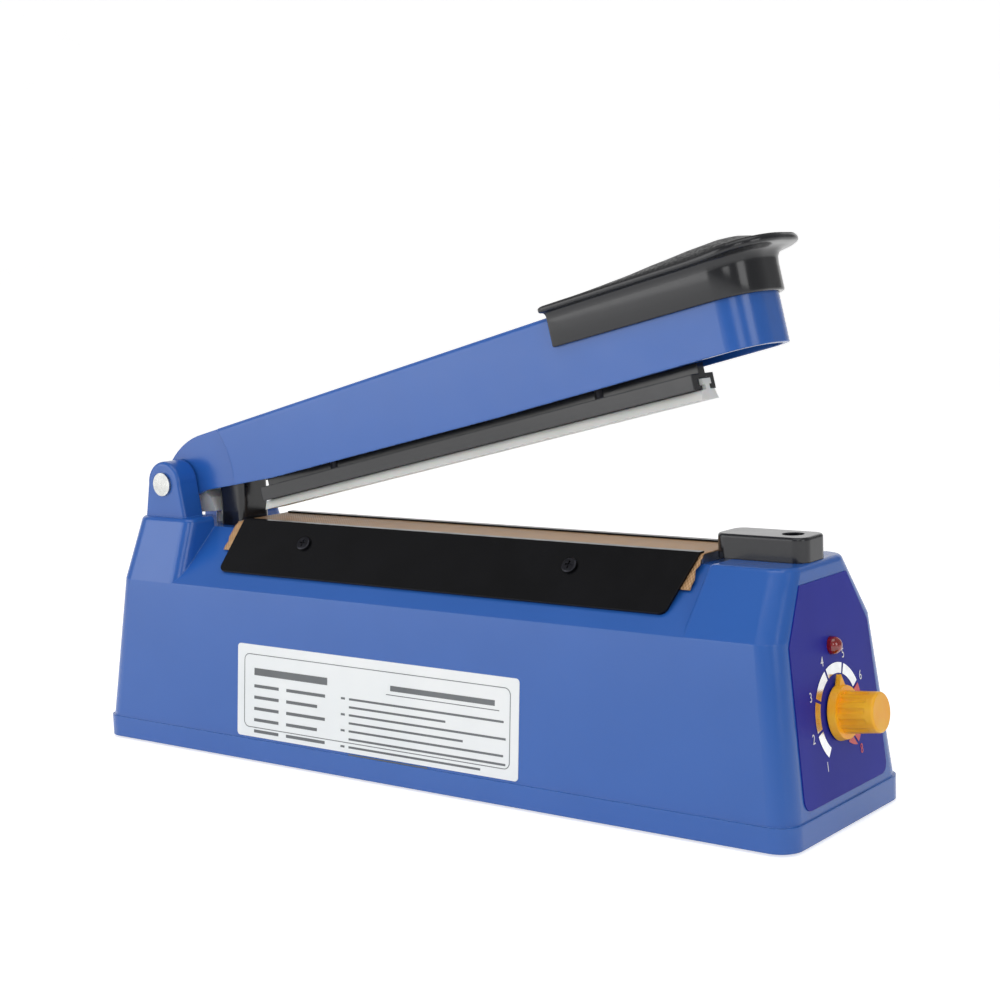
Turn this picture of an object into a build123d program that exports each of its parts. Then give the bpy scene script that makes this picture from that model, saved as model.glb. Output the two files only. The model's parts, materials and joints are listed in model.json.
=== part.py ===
from build123d import *
import math
import os

# Impulse heat sealer. Millimetres, +X towards the knob, +Z up. Shapes are drawn with z = 0 on the housing's
# rim and x = 0 at its middle, and save() moves them so that the feet stand on z = 0.

# Housing
base_length = 320.0
base_width = 81.4
skirt_height = 8.3
skirt_step = 0.7
shoulder_height = 65.2
shoulder_width = 70.4
roof_height = 85.7
roof_margin = 0.2
end_draft = 6.5
corner_radius = 8.0
wall = 2.5
knob_pedestal_rise = 1.5
knob_pedestal_width = 41.2
knob_pedestal_x = 117.6
knob_pedestal_lean = 2.7
knob_pedestal_radius = 2.0
hinge_pedestal_rise = 4.3
hinge_pedestal_width = 53.2
hinge_pedestal_x = -117.5
hinge_pedestal_radius = 5.0
edge_radius = 2.0
boss_radius = 4.6
boss_height = 22.0
boss_bite = 1.5
boss_end = 2.0
boss_screw_length = 9.0

# Hinge
pivot_x = -135.5
pivot_rise = 17.6
hub_gap = 0.8
ear_thickness = 10.2
ear_radius = 9.2
ear_foot = 12.0
ear_edge = 1.5
pin_radius = 3.0
pin_head_radius = 4.75
pin_head = 1.0
pin_tail = 3.2
groove_in = 0.6
groove_width = 0.8
groove_depth = 0.8
clip_rim = 2.2
clip_thick = 0.7
clip_mouth = 3.6
running_gap = 0.05
close_deg = 12.9

# Arm, drawn closed, with the hinge axis at its origin
arm_length = 278.0
arm_width = 31.0
arm_wall = 2.2
hub_width = 25.0
hub_reach = 33.0
hub_back_radius = 33.0
hub_tube_radius = 6.5
heel_x = -4.0
heel_drop = 3.0
rim_hub_x = 12.0
rim_shares = (0.19, 0.61)
hub_back_angles = (150, 120)
rim_hub = -6.0
rim_mid = -8.2
rim_nose = -6.7
top_rear = 16.4
top_front = 23.2
nose_radius = 12.0

# Grip
grip_rear = 200.4
grip_drop = 10.2
grip_wall = 2.0
grip_seam = 22.2
lip_overhang = 2.4
lip_front = 10.5
lip_thick = 2.2
hump_height = 30.6
hump_x = 268.0
grip_screw_step = 16.0
grip_screw_length = 6.0
grip_corner = 2.0
lip_nose_radius = 16.0
crown_rise = 5.2
crown_run = 40.0
crown_dip = 1.4
tip_top = 5.6
tip_low = 3.2

# Pressing bar, drawn closed but not yet pushed up
bar_rear = 37.8
bar_length = 208.7
bar_width = 14.0
bar_height = 5.6
bar_top = -10.2
bar_slot_width = 5.8
bar_mouth_width = 3.2
bar_lip = 1.4
bar_roof = 1.6
web_thick = 4.0
web_height = 3.7
bar_lift = 6.1
strip_overhang = 1.2
strip_width = 11.0
strip_height = 3.7
strip_gap = 0.2
guide_radius = 2.5
guide_tops = 6.0
guide_boss_radius = 4.6
guide_xs = (75.0, 205.0)
collar_radius = 6.9
collar_thick = 1.2
boss_clear = 1.0
strip_chamfer = 1.5
strip_play = 0.3

# Sealing platform
platform_rear = -103.0
platform_front = 113.4
platform_width = 26.0
platform_height = 2.9
platform_screw_in = 16.0
screw_skin = 0.6
tape_width = 10.0
tape_thick = 0.2
element_width = 2.5
element_thick = 0.15
element_reach = 12.0
cloth_thick = 0.2
cloth_side = 14.0
cloth_overhang = 0.6
cloth_inset = 2.0
clamp_thick = 1.0
clamp_foot_gap = 0.19
clamp_drop = 24.7
clamp_lip = 2.9
clamp_rear = -99.2
clamp_front = 113.1
clamp_screw_xs = (-61.0, 64.5)
clamp_screw_down = 9.5
clamp_screw_length = 8.0
clamp_hole_depth = 12.0
clamp_rear_slant = 0.4
clamp_front_slant = 4.4
clamp_corner = 3.0
spacer_wall = 0.6
cloth_hole_wall = 0.8
terminal_size = (8.0, 6.0, 1.6)
terminal_in = 2.0
front_terminal_in = 6.0

# Front terminal cover
cover_rear = 115.0
cover_front = 149.0
cover_width = 16.8
cover_height = 8.4
cover_wall = 1.8
cover_corner = 4.5
cover_hole_radius = 3.75
cover_hole_x = 140.6
cover_edge = 1.0
cover_boss_wall = 1.4
cover_floor = 2.0
cover_notch_side = 4.0
cover_screw_bite = 3.0

# Return spring and its post
post_rear = -119.9
post_front = -106.0
post_width = 16.0
post_rise = 18.3
post_depth = 14.0
post_bore_radius = 5.6
post_flange = 2.0
post_tab = 8.0
post_corner = 3.0
post_floor = 2.0
post_screw_in = 3.4
post_screw_bite = 1.5
spring_radius = 4.4
spring_wire = 1.0
spring_turns = 11
spring_top_gap = 1.4
pressure_spring_radius = 5.8
pressure_spring_wire = 0.9
pressure_spring_turns = 6
pressure_spring_gap = 0.5

# Switch
switch_size = (19.8, 6.4, 10.2)
switch_x = pivot_x + 8.0
switch_screw_step = 4.75
switch_screw_up = 2.5
switch_rib_drop = 2.0
switch_screw_bite = 2.0
switch_lug = (2.4, 0.8, 5.0)
switch_lug_step = 8.0
switch_offset = 4.2
switch_screw_radius = 0.95
switch_screw_head = 1.9
plunger_radius = 1.5
plunger_rise = 4.2
plunger_depth = 3.6
plunger_well = 5.5
plunger_round = 0.7
plunger_travel = 1.7
trigger_width = 16.0
trigger_outline = ((-2.0, -13.2), (11.0, -15.0), (9.6, -9.0), (7.0, -6.0), (3.0, -4.0), (-6.0, -4.0))
trigger_ring = 2.4
trigger_ring_back = 8.0
trigger_ring_top = 2.0

# Dial end
knob_height = 37.4
knob_skirt_radius = 9.4
knob_skirt = 2.6
knob_radius = 7.1
knob_tip_radius = 6.7
knob_length = 14.8
knob_gap = 0.6
knob_flutes = 12
flute_radius = 1.4
flute_out = 0.75
flute_end = 3.0
pointer_reach = 12.6
pointer_half = 2.2
pointer_thick = 1.8
knob_edge = 0.8
knob_top = 2.0
skirt_taper = 0.6
shaft_radius = 3.0
bushing_radius = 3.6
pot_radius = 8.5
pot_depth = 9.0
nut_size = 10.0
nut_thick = 2.0
nut_clear = 1.4
pot_lug = (11.0, 6.0, 1.2)
led_rise = 1.2
led_back = 4.0
led_collar = (0.6, 1.0)
dial_corner = 4.0
plate_thick = 0.4
led_radius = 3.0
led_height = 59.5
dial_widths = (58.6, 54.6, 32.6)
dial_heights = (11.0, 63.5, 81.6)

# Underside and what stands on it
foot_drop = 1.0
foot_radius = 7.0
foot_thick = 2.0
foot_x = 138.0
foot_y = 24.0
plate_gap = 0.4
bottom_thick = 1.2
screw_radius = 1.5
screw_head_radius = 3.0
screw_head = 1.2
screw_slot = (3.2, 0.7, 0.6)
core_size = (66.0, 30.0, 55.0)
core_x = -30.0
core_leg = 11.0
coil_bulge = 9.0
coil_gap = 0.4
coil_corner = 3.0
strap_thick = 1.2
strap_foot = 10.0
strap_width = 12.0
strap_screw_bite = 1.0
board_size = (70.0, 50.0, 1.6)
board_x = 85.0
standoff_height = 8.0
standoff_radius = 3.0
standoff_in = 4.0
board_screw_length = 6.0
relay_size = (19.0, 15.5, 15.2)
capacitor_radius = 5.0
capacitor_height = 16.0
capacitor_place = (14.0, 8.0)
capacitor_edge = 0.6
chip_size = (10.0, 6.4, 3.4)
chip_place = (-11.0, 9.2)
chip_lift = 0.8
chip_pins = 4
chip_pitch = 2.54
chip_pin = (0.6, 8.0, 1.6)
grommet_y = 18.0
grommet_z = 22.0
grommet_hole = 3.5
grommet_radius = 6.0
grommet_neck = 4.8
grommet_flange = 1.6

# Label on the front wall
label_rear = -82.9
label_front = 53.6
label_low = 9.2
label_high = 45.0
label_thick = 0.2
label_corner = 1.5

wall_gap = 0.1
thread_gap = 0.03
beyond = 200.0


def end_x(z):
    """x of the sloped end walls at a height."""
    return base_length / 2 - skirt_step - (z - skirt_height) * math.tan(math.radians(end_draft))


def side_y(z):
    """Half the width of the walls below the shoulder at a height."""
    share = (z - skirt_height) / (shoulder_height - skirt_height)
    low = base_width / 2 - skirt_step
    return low + (shoulder_width / 2 - low) * share


# Outside of the knob, and so of the whole part along X
end_lean = math.radians(end_draft)
knob_reach = plate_thick + knob_gap + knob_length
front_reach = end_x(knob_height) + knob_reach * math.cos(end_lean) + knob_tip_radius * math.sin(end_lean)
origin_x = (front_reach - base_length / 2) / 2

roof_width = platform_width + 2 * roof_margin
roof_slope = math.degrees(math.atan2(roof_height - shoulder_height, (shoulder_width - roof_width) / 2))
knob_pedestal_height = roof_height + knob_pedestal_rise
hinge_pedestal_height = roof_height + hinge_pedestal_rise
pivot_z = roof_height + pivot_rise
post_top = roof_height + post_rise
slot_width = hub_width + 2 * hub_gap
platform_top = roof_height + platform_height
cloth_low = platform_top + tape_thick + element_thick
cloth_top = cloth_low + cloth_thick
clamp_rise = (cloth_top - roof_height) * math.cos(math.radians(roof_slope)) - clamp_foot_gap
clamp_slope = roof_slope + math.degrees(math.asin(clamp_rise / clamp_drop))
floor_z = roof_height - wall
hub_inner = hub_width / 2 - arm_wall
strip_low = bar_top - bar_height - strip_height + strip_gap


def save(name, pieces):
    """Writes a piece, or a group of loose pieces, in the row's frame."""
    place = Pos(-origin_x, 0, foot_drop)
    solids = [place * solid for piece in pieces for solid in piece.solids()]
    export_step(solids[0] if len(solids) == 1 else Compound(solids), f"parts/{name}.step")


def raised(shape):
    """Turns a piece drawn on the closed arm up to where the open arm rests."""
    return Pos(pivot_x, 0, pivot_z) * Rot(0, -close_deg, 0) * shape


def across(points, half):
    """A prism across the part, from an outline in X and Z."""
    return extrude(Plane.XZ * make_face(Polyline(*points, close=True)), half, both=True)


def along(points, start, length):
    """A prism along the part, from an outline in Y and Z."""
    return extrude(Plane.YZ.offset(start) * make_face(Polyline(*points, close=True)), length)


def mirrored(points):
    return list(points) + [(-y, z) for y, z in reversed(points)]


def box_at(low, high):
    size = [b - a for a, b in zip(low, high)]
    middle = [(a + b) / 2 for a, b in zip(low, high)]
    return Pos(*middle) * Box(*size)


def rod(radius, start, end):
    """A cylinder between two points."""
    line = Vector(*end) - Vector(*start)
    return Plane(origin=start, z_dir=line) * standing(radius, line.length)


def standing(radius, height):
    """A cylinder standing on z = 0."""
    return Cylinder(radius, height, align=(Align.CENTER, Align.CENTER, Align.MIN))


def coil(radius, wire, height, turns):
    """A compression spring standing on z = 0, with its wire's middle at the given radius."""
    rise = height - wire
    path = Helix(pitch=rise / turns, height=rise, radius=radius)
    section = Plane(origin=path @ 0, z_dir=path % 0) * Circle(wire / 2)
    return Pos(0, 0, wire / 2) * sweep(section, path=path, is_frenet=True)


def pan_screw(shank, length):
    """A pan screw with its seat at z = 0 and its shank downwards, with a cross slot."""
    head = standing(screw_head_radius, screw_head)
    head = fillet(head.edges().sort_by(Axis.Z)[-1], screw_head / 2)
    span, width, depth = screw_slot
    cross = Box(span, width, 2 * depth) + Box(width, span, 2 * depth)
    return head + Pos(0, 0, -length) * standing(shank, length) - Pos(0, 0, screw_head) * cross


# Housing


def ring(rear, front, half, z, rear_radius, front_radius):
    """A rounded rectangle seen from above."""
    face = Pos((rear + front) / 2, 0, z) * Rectangle(front - rear, 2 * half)
    face = fillet(face.vertices().sort_by(Axis.X)[-2:], front_radius)
    return fillet(face.vertices().sort_by(Axis.X)[:2], rear_radius)


def walls(inset):
    """The box below the shoulder, and the skirt round its foot."""
    radius = corner_radius - inset
    low = skirt_height
    body = loft([ring(inset - end_x(z), end_x(z) - inset, side_y(z) - inset, z, radius, radius)
                 for z in (low, shoulder_height)], ruled=True)
    grow = 0 if inset else skirt_step
    half_x = end_x(low) + grow - inset
    return body + extrude(ring(-half_x, half_x, side_y(low) + grow - inset, 0, radius, radius), low)


def roof(inset):
    """The ridge between the pedestals that carries the sealing platform."""
    low = shoulder_height - 3 * wall
    shoulder = (-shoulder_width / 2, shoulder_height)
    outline = mirrored([(-side_y(low), low), shoulder, (-roof_width / 2, roof_height)])
    face = Plane.YZ.offset(hinge_pedestal_x - 4 * wall) * make_face(Polyline(*outline, close=True))
    if inset:
        face = offset(face, -inset, kind=Kind.INTERSECTION)
    return extrude(face, knob_pedestal_x - hinge_pedestal_x + 8 * wall)


def pedestal(inner, towards, lean, inner_radius, half, top, inset):
    """A block on one end of the shoulder. Its inner end leans outwards by lean on its way up."""
    rings = []
    for z, shift, side in ((shoulder_height, 0, shoulder_width / 2), (top, lean, half)):
        ends = (inner + towards * (shift + inset), towards * (end_x(z) - inset))
        radii = (max(inner_radius - inset, 0.5), corner_radius - inset)
        rear, front = sorted(ends)
        rear_radius, front_radius = radii if towards > 0 else reversed(radii)
        level = z - (inset if z > shoulder_height else 0)
        rings.append(ring(rear, front, side - inset, level, rear_radius, front_radius))
    return loft(rings, ruled=True)


def knob_pedestal(inset):
    return pedestal(knob_pedestal_x, 1, knob_pedestal_lean, knob_pedestal_radius, knob_pedestal_width / 2,
                    knob_pedestal_height, inset)


def hinge_pedestal(inset):
    return pedestal(hinge_pedestal_x, -1, 0, hinge_pedestal_radius, hinge_pedestal_width / 2,
                    hinge_pedestal_height, inset)


def ears():
    """Two ears beside the arm's hub, which carry the hinge pin."""
    foot = hinge_pedestal_height - edge_radius
    disc = Circle(ear_radius)
    reach = foot - pivot_z
    corners = [(-ear_radius, 0), (ear_radius, 0), (ear_foot, reach), (-ear_foot, reach)]
    skirt = make_face(Polyline(*corners, close=True))
    near = Plane.XZ.offset(slot_width / 2) * Pos(pivot_x, pivot_z) * (disc + skirt)
    near = extrude(near, ear_thickness)
    outer = near.faces().sort_by(Axis.Y)[0].edges().filter_by_position(Axis.Z, foot + ear_edge / 10, beyond)
    near = fillet(outer, ear_edge)
    return near + mirror(near, Plane.XZ)


def slot(grow):
    """Room between the ears, where the arm's hub swings."""
    half = slot_width / 2 + grow
    return box_at((-base_length / 2 - 1, -half, roof_height - grow), (hinge_pedestal_x + grow, half, beyond))


def post_window(grow):
    return box_at((post_rear - grow, -post_width / 2 - grow, floor_z - post_depth),
                  (post_front + grow, post_width / 2 + grow, post_top))


def end_frame():
    """Plane of the dial end's wall, with its origin on the knob's axis, x across and y up the slope."""
    lean = math.radians(end_draft)
    return Plane(origin=(end_x(knob_height), 0, knob_height), x_dir=(0, 1, 0),
                 z_dir=(math.cos(lean), 0, math.sin(lean)))


def up_slope(z):
    return (z - knob_height) / math.cos(math.radians(end_draft))


def end_holes():
    frame = end_frame()
    knob = frame * Cylinder(bushing_radius + wall_gap, 6 * wall)
    led = frame * Pos(0, up_slope(led_height), 0) * Cylinder(led_radius + wall_gap, 6 * wall)
    return knob + led + grommet_place() * Cylinder(grommet_neck, 4 * wall)


def corner_bosses():
    """Bosses beside the side walls, which the bottom plate's screws bite into."""
    room = walls(wall / 2)
    end = boss_height - boss_end
    return [(rod(boss_radius, (x, y, floor_top()), (x, y, boss_height)) & room)
            - rod(screw_radius + thread_gap, (x, y, 0), (x, y, end)) for x, y in boss_places()]


def switch_wall():
    """A rib under the slot's floor, which the switch is screwed to."""
    half = switch_size[0] / 2
    inner = switch_size[1] / 2
    middle = switch_middle()
    low = floor_z - switch_size[2] - switch_rib_drop
    rib = box_at((middle - half, inner, low), (middle + half, inner + wall, floor_z + wall / 2))
    z = switch_screw_z()
    for x in switch_screw_xs():
        rib -= rod(switch_screw_radius + thread_gap, (x, 0, z), (x, 2 * inner + wall, z))
    return rib


def switch_middle():
    return switch_x - switch_offset


def switch_screw_xs():
    return (switch_middle() - switch_screw_step, switch_middle() + switch_screw_step)


def switch_screw_z():
    return floor_z - switch_size[2] + switch_screw_up


def platform_screw_xs():
    return (platform_rear + platform_screw_in, platform_front - platform_screw_in)


def housing():
    blocks = [fillet(block.edges().group_by(Axis.Z)[-1], edge_radius)
              for block in (knob_pedestal(0), hinge_pedestal(0))]
    shell = walls(0) + roof(0) + blocks
    shell = shell - slot(0) + ears()
    cavity = walls(wall) + roof(wall) + knob_pedestal(wall) + (hinge_pedestal(wall) - slot(wall))
    shell = shell - cavity - box_at((-base_length / 2 + 2 * wall, -side_y(0) + 2 * wall, -1),
                                    (base_length / 2 - 2 * wall, side_y(0) - 2 * wall, 1))
    shell = shell - post_window(wall_gap) - end_holes()
    shell -= rod(pin_radius + running_gap, (pivot_x, -base_width, pivot_z), (pivot_x, base_width, pivot_z))
    shell -= rod(plunger_radius + running_gap, (switch_x, 0, floor_z - wall), (switch_x, 0, roof_height + wall))
    for x in platform_screw_xs():
        shell -= rod(screw_radius + wall_gap, (x, 0, floor_z - wall), (x, 0, roof_height + wall))
    deck = knob_pedestal_height
    shell -= rod(screw_radius + thread_gap, (cover_hole_x, 0, deck - 2 * wall), (cover_hole_x, 0, deck + wall))
    for start, end in clamp_screw_lines(clamp_hole_depth):
        shell -= rod(screw_radius + thread_gap, start, end)
    tip = floor_z + wall - screw_skin
    for x, side in post_screw_places():
        shell -= rod(screw_radius + thread_gap, (x, side, floor_z - wall), (x, side, tip))
    for boss in corner_bosses():
        shell += boss
    return shell + switch_wall()


# Base fittings


def bottom_plate():
    half_x = end_x(skirt_height) - wall - plate_gap
    half_y = side_y(skirt_height) - wall - plate_gap
    radius = corner_radius - wall
    sheet = ring(-half_x, half_x, half_y, plate_gap, radius, radius)
    plate = extrude(sheet, bottom_thick)
    for x, y in boss_places():
        plate -= rod(screw_radius + wall_gap, (x, y, 0), (x, y, 2 * floor_top()))
    for x in strap_screw_xs():
        plate -= rod(screw_radius + thread_gap, (x, 0, 0), (x, 0, 2 * floor_top()))
    return plate


def boss_places():
    y = side_y(skirt_height) - wall - boss_radius + boss_bite
    return [(x, side * y) for x in (-foot_x, foot_x) for side in (-1, 1)]


def feet():
    places = [(x, y) for x in (-foot_x, foot_x) for y in (-foot_y, foot_y)]
    return [rod(foot_radius, (x, y, -foot_drop), (x, y, plate_gap)) for x, y in places]


def bottom_screws():
    under = Rot(180, 0, 0) * pan_screw(screw_radius, boss_screw_length)
    return [Pos(x, y, plate_gap) * under for x, y in boss_places()]


def platform():
    half = platform_width / 2
    slab = box_at((platform_rear, -half, roof_height), (platform_front, half, platform_top))
    for x in platform_screw_xs():
        slab -= rod(screw_radius + thread_gap, (x, 0, roof_height - 1), (x, 0, platform_top - screw_skin))
    length, width, height = terminal_size
    low = platform_top + tape_thick - height
    rear = platform_rear + terminal_in
    return slab - box_at((rear, -width / 2, low), (rear + length, width / 2, beyond))


def platform_screws():
    under = Rot(180, 0, 0) * pan_screw(screw_radius, wall + platform_height - 1.5 * screw_skin)
    return [Pos(x, 0, floor_z) * under for x in platform_screw_xs()]


def insulating_tape():
    rear = platform_rear + terminal_in + terminal_size[0] + wall_gap
    half = tape_width / 2
    return box_at((rear, -half, platform_top), (platform_front, half, platform_top + tape_thick))


def heating_element():
    low = platform_top + tape_thick
    half = element_width / 2
    rear = platform_rear + 1.5 * terminal_in
    return box_at((rear, -half, low), (cover_rear + element_reach, half, low + element_thick))


def element_terminals():
    """The clamping blocks under the element's ends, one let into the platform and one on the knob pedestal."""
    length, width, height = terminal_size
    low = platform_top + tape_thick
    rear = platform_rear + terminal_in + wall_gap
    side = width / 2 - wall_gap
    first = box_at((rear, -side, low - height), (rear + length - 2 * wall_gap, side, low))
    front = cover_rear + front_terminal_in
    second = box_at((front, -side, knob_pedestal_height), (front + length, side, low))
    return [first, second]


def clamp_frame():
    """Plane of the front clamp's outer face: origin at its top edge, x along the part, y up the slope."""
    slope = math.radians(clamp_slope)
    normal = (0, -math.sin(slope), math.cos(slope))
    foot = (0, -platform_width / 2 - cloth_thick, cloth_top)
    origin = tuple(a + clamp_thick * b for a, b in zip(foot, normal))
    return Plane(origin=origin, x_dir=(1, 0, 0), z_dir=normal)


def clamp_screw_lines(depth):
    """Start and end of each clamp screw's hole, on both sides."""
    frame = clamp_frame()
    lines = []
    for x in clamp_screw_xs:
        top = frame.origin + frame.y_dir * -clamp_screw_down
        top = Vector(x, top.Y, top.Z)
        tip = top - frame.z_dir * depth
        for side in (1, -1):
            lines.append(((top.X, side * top.Y, top.Z), (tip.X, side * tip.Y, tip.Z)))
    return lines


def clamp_plate():
    """The front clamp: a sloped steel plate whose top edge folds over onto the cloth."""
    frame = clamp_frame()
    outline = Polyline((clamp_rear, 0), (clamp_rear + clamp_rear_slant, -clamp_drop),
                       (clamp_front - clamp_front_slant, -clamp_drop), (clamp_front, 0), close=True)
    face = make_face(outline)
    face = fillet(face.vertices().sort_by(Axis.Y)[:2], clamp_corner)
    plate = extrude(frame * face, -clamp_thick)
    edge = frame.origin
    lip = box_at((clamp_rear, edge.Y, cloth_top), (clamp_front, edge.Y + clamp_lip, edge.Z))
    plate = plate + lip
    for start, end in clamp_screw_lines(clamp_screw_length):
        if start[1] < 0:
            plate -= rod(screw_radius + wall_gap, start, end)
    return plate


def clamp_screws():
    screws = []
    for (x, y, z), tip in clamp_screw_lines(clamp_screw_length):
        seat = Plane(origin=(x, y, z), z_dir=Vector(x, y, z) - Vector(*tip))
        screws.append(seat * pan_screw(screw_radius, clamp_screw_length))
    return screws


def clamp_spacers():
    """Collars round the clamp screws, between the clamp plates and the sloped roof."""
    spacers = []
    solid_roof = roof(0)
    for start, end in clamp_screw_lines(clamp_hole_depth):
        line = Vector(*end) - Vector(*start)
        first = Vector(*start) + line.normalized() * (clamp_thick + cloth_thick)
        collar = rod(screw_head_radius + spacer_wall, tuple(first), end)
        collar -= rod(screw_radius + wall_gap, start, end)
        spacers.append(collar - solid_roof)
    return spacers


def cloth():
    """The woven sheet over the element, down both sides of the platform and under the clamps."""
    half = platform_width / 2 + cloth_thick
    rear, front = platform_rear - cloth_overhang, platform_front + cloth_overhang
    top = box_at((rear, -half, cloth_low), (front, half, cloth_top))
    frame = clamp_frame()
    length = clamp_front - clamp_rear - 2 * cloth_inset
    face = Pos((clamp_rear + clamp_front) / 2, -cloth_side / 2) * Rectangle(length, cloth_side)
    back = Plane(origin=frame.origin - frame.z_dir * clamp_thick, x_dir=frame.x_dir, z_dir=frame.z_dir)
    flap = extrude(back * face, -cloth_thick)
    for start, end in clamp_screw_lines(clamp_screw_length):
        if start[1] < 0:
            flap -= rod(screw_head_radius + cloth_hole_wall, start, end)
    return top + flap + mirror(flap, Plane.XZ)


def terminal_cover():
    half = cover_width / 2
    low = knob_pedestal_height
    length = cover_front - cover_rear
    middle = (cover_rear + cover_front) / 2
    outer = extrude(Pos(middle, 0, low) * RectangleRounded(length, cover_width, cover_corner), cover_height)
    outer = fillet(outer.edges().group_by(Axis.Z)[-1], cover_edge)
    inside = RectangleRounded(length - 2 * cover_wall, cover_width - 2 * cover_wall, cover_corner - cover_wall)
    inner = extrude(Pos(middle, 0, low) * inside, cover_height - cover_wall)
    ceiling_z = low + cover_height - cover_wall
    boss = rod(cover_hole_radius + cover_boss_wall, (cover_hole_x, 0, low), (cover_hole_x, 0, ceiling_z))
    cover = outer - (inner - boss)
    floor = low + cover_floor
    cover -= rod(cover_hole_radius, (cover_hole_x, 0, floor), (cover_hole_x, 0, low + 2 * cover_height))
    shaft = (cover_hole_x, 0, low - cover_floor), (cover_hole_x, 0, floor + cover_floor)
    cover -= rod(screw_radius + wall_gap, *shaft)
    side = half - cover_notch_side
    outside, inside = cover_rear - cover_wall, cover_rear + 1.3 * cover_wall
    return cover - box_at((outside, -side, low - cover_wall), (inside, side, cloth_top + wall_gap))


def cover_screw():
    screw = pan_screw(screw_radius, wall + cover_screw_bite)
    return Pos(cover_hole_x, 0, knob_pedestal_height + cover_floor) * screw


def spring_post():
    """The black post beside the hinge, hollow for the return spring, with a flange under the roof."""
    half = post_width / 2
    low = floor_z - post_depth
    shaft = box_at((post_rear, -half, low), (post_front, half, post_top))
    shaft = fillet(shaft.edges().filter_by(Axis.Z), post_corner)
    under = floor_z - post_flange
    post = shaft + box_at((post_rear + post_corner, -half, under), (post_front + post_tab, half, floor_z))
    middle = post_middle()
    post -= rod(post_bore_radius, (middle, 0, low + post_floor), (middle, 0, 2 * post_top))
    for x, side in post_screw_places():
        post -= rod(screw_radius + wall_gap, (x, side, floor_z - 2 * post_flange), (x, side, roof_height))
    return post


def post_middle():
    return (post_rear + post_front) / 2


def post_screw_places():
    return [(post_front + post_tab / 2, side * (post_width / 2 - post_screw_in)) for side in (-1, 1)]


def post_screws():
    under = Rot(180, 0, 0) * pan_screw(screw_radius, post_flange + post_screw_bite)
    return [Pos(x, side, floor_z - post_flange) * under for x, side in post_screw_places()]


def return_spring():
    low = floor_z - post_depth + post_floor
    lift = math.radians(close_deg)
    reach = (post_middle() - spring_radius - spring_wire - pivot_x) / math.cos(lift)
    top = pivot_z + reach * math.sin(lift) + ceiling(reach) * math.cos(lift) - spring_top_gap
    return Pos(post_middle(), 0, low) * coil(spring_radius, spring_wire, top - low, spring_turns)


# Hinge


def hinge_pin():
    half = slot_width / 2 + ear_thickness
    end = half + pin_tail
    pin = rod(pin_radius, (pivot_x, -half - pin_head, pivot_z), (pivot_x, end, pivot_z))
    pin += rod(pin_head_radius, (pivot_x, -half - pin_head, pivot_z), (pivot_x, -half, pivot_z))
    near = half + groove_in
    groove = rod(2 * pin_radius, (pivot_x, near, pivot_z), (pivot_x, near + groove_width, pivot_z))
    return pin - (groove - rod(pin_radius - groove_depth, (pivot_x, 0, pivot_z), (pivot_x, end, pivot_z)))


def pin_clip():
    half = slot_width / 2 + ear_thickness
    near = half + groove_in + (groove_width - clip_thick) / 2
    clip = rod(pin_radius + clip_rim, (pivot_x, near, pivot_z), (pivot_x, near + clip_thick, pivot_z))
    end = half + pin_tail
    bore = pin_radius - groove_depth + wall_gap
    mouth = clip_mouth / 2
    clip -= rod(bore, (pivot_x, half, pivot_z), (pivot_x, end, pivot_z))
    return clip - box_at((pivot_x - mouth, half, pivot_z - 3 * pin_radius), (pivot_x + mouth, end, pivot_z))


# Arm


def ceiling(x):
    """Height of the arm's inner ceiling above the hinge axis, in the closed arm's frame."""
    back_x = hub_back_radius / 2
    return top_rear + (top_front - top_rear) * (x - back_x) / (arm_length - back_x) - arm_wall


def arm_outline(inset):
    """Side view of the arm in its closed frame, open along its rim."""
    drop = 4 * inset
    back_x = hub_back_radius / 2
    top = top_rear - inset
    radius = hub_back_radius - inset
    centre_z = top_rear - hub_back_radius
    back, on_way = [(back_x + radius * math.cos(angle), centre_z + radius * math.sin(angle))
                    for angle in map(math.radians, hub_back_angles)]
    heel = (heel_x + inset, rim_hub - heel_drop - drop)
    front = arm_length - inset
    rim = [(front, rim_nose - drop)] + [(arm_length * share, rim_mid - drop) for share in reversed(rim_shares)]
    path = [(back_x, top), (front, top_front - inset), *rim, (rim_hub_x, rim_hub - drop), heel, back]
    return make_face(Curve() + [ThreePointArc(back, on_way, (back_x, top)), Polyline(*path)])


def arm_form(inset, half):
    body = extrude(Plane.XZ * arm_outline(inset), half, both=True)
    nose = body.edges().filter_by(Axis.Z).sort_by(Axis.X)[-2:]
    return fillet(nose, nose_radius - inset)


def hub_cut(reach, half):
    """What the narrow hub leaves out of the arm's sides, round the hinge."""
    cuts = rod(reach, (0, half, 0), (0, arm_width, 0))
    return cuts + mirror(cuts, Plane.XZ)


def arm_shell():
    outer = arm_form(0, arm_width / 2)
    lengthwise = outer.edges().filter_by(Axis.Y, reverse=True)
    outer = fillet(lengthwise.filter_by_position(Axis.Z, top_rear - 0.5, top_front + 1), edge_radius)
    outer -= hub_cut(hub_reach, hub_width / 2)
    inner = arm_form(arm_wall, arm_width / 2 - arm_wall) - hub_cut(hub_reach + arm_wall, hub_inner)
    shell = outer - inner
    shell += rod(hub_tube_radius, (0, -hub_width / 2, 0), (0, hub_width / 2, 0))
    shell -= rod(pin_radius + running_gap, (0, -arm_width, 0), (0, arm_width, 0))
    for x in guide_xs:
        boss = rod(guide_boss_radius, (x, 0, boss_low()), (x, 0, ceiling(x) + arm_wall / 2))
        shell += boss
        shell -= rod(guide_radius + running_gap, (x, 0, rim_mid), (x, 0, guide_tops + bar_lift + boss_clear))
    for x in grip_screw_xs():
        shell -= rod(screw_radius + wall_gap, (x, 0, 0), (x, 0, 2 * top_front))
    return shell


def boss_low():
    return bar_top + web_height + collar_thick + bar_lift + boss_clear


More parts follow.
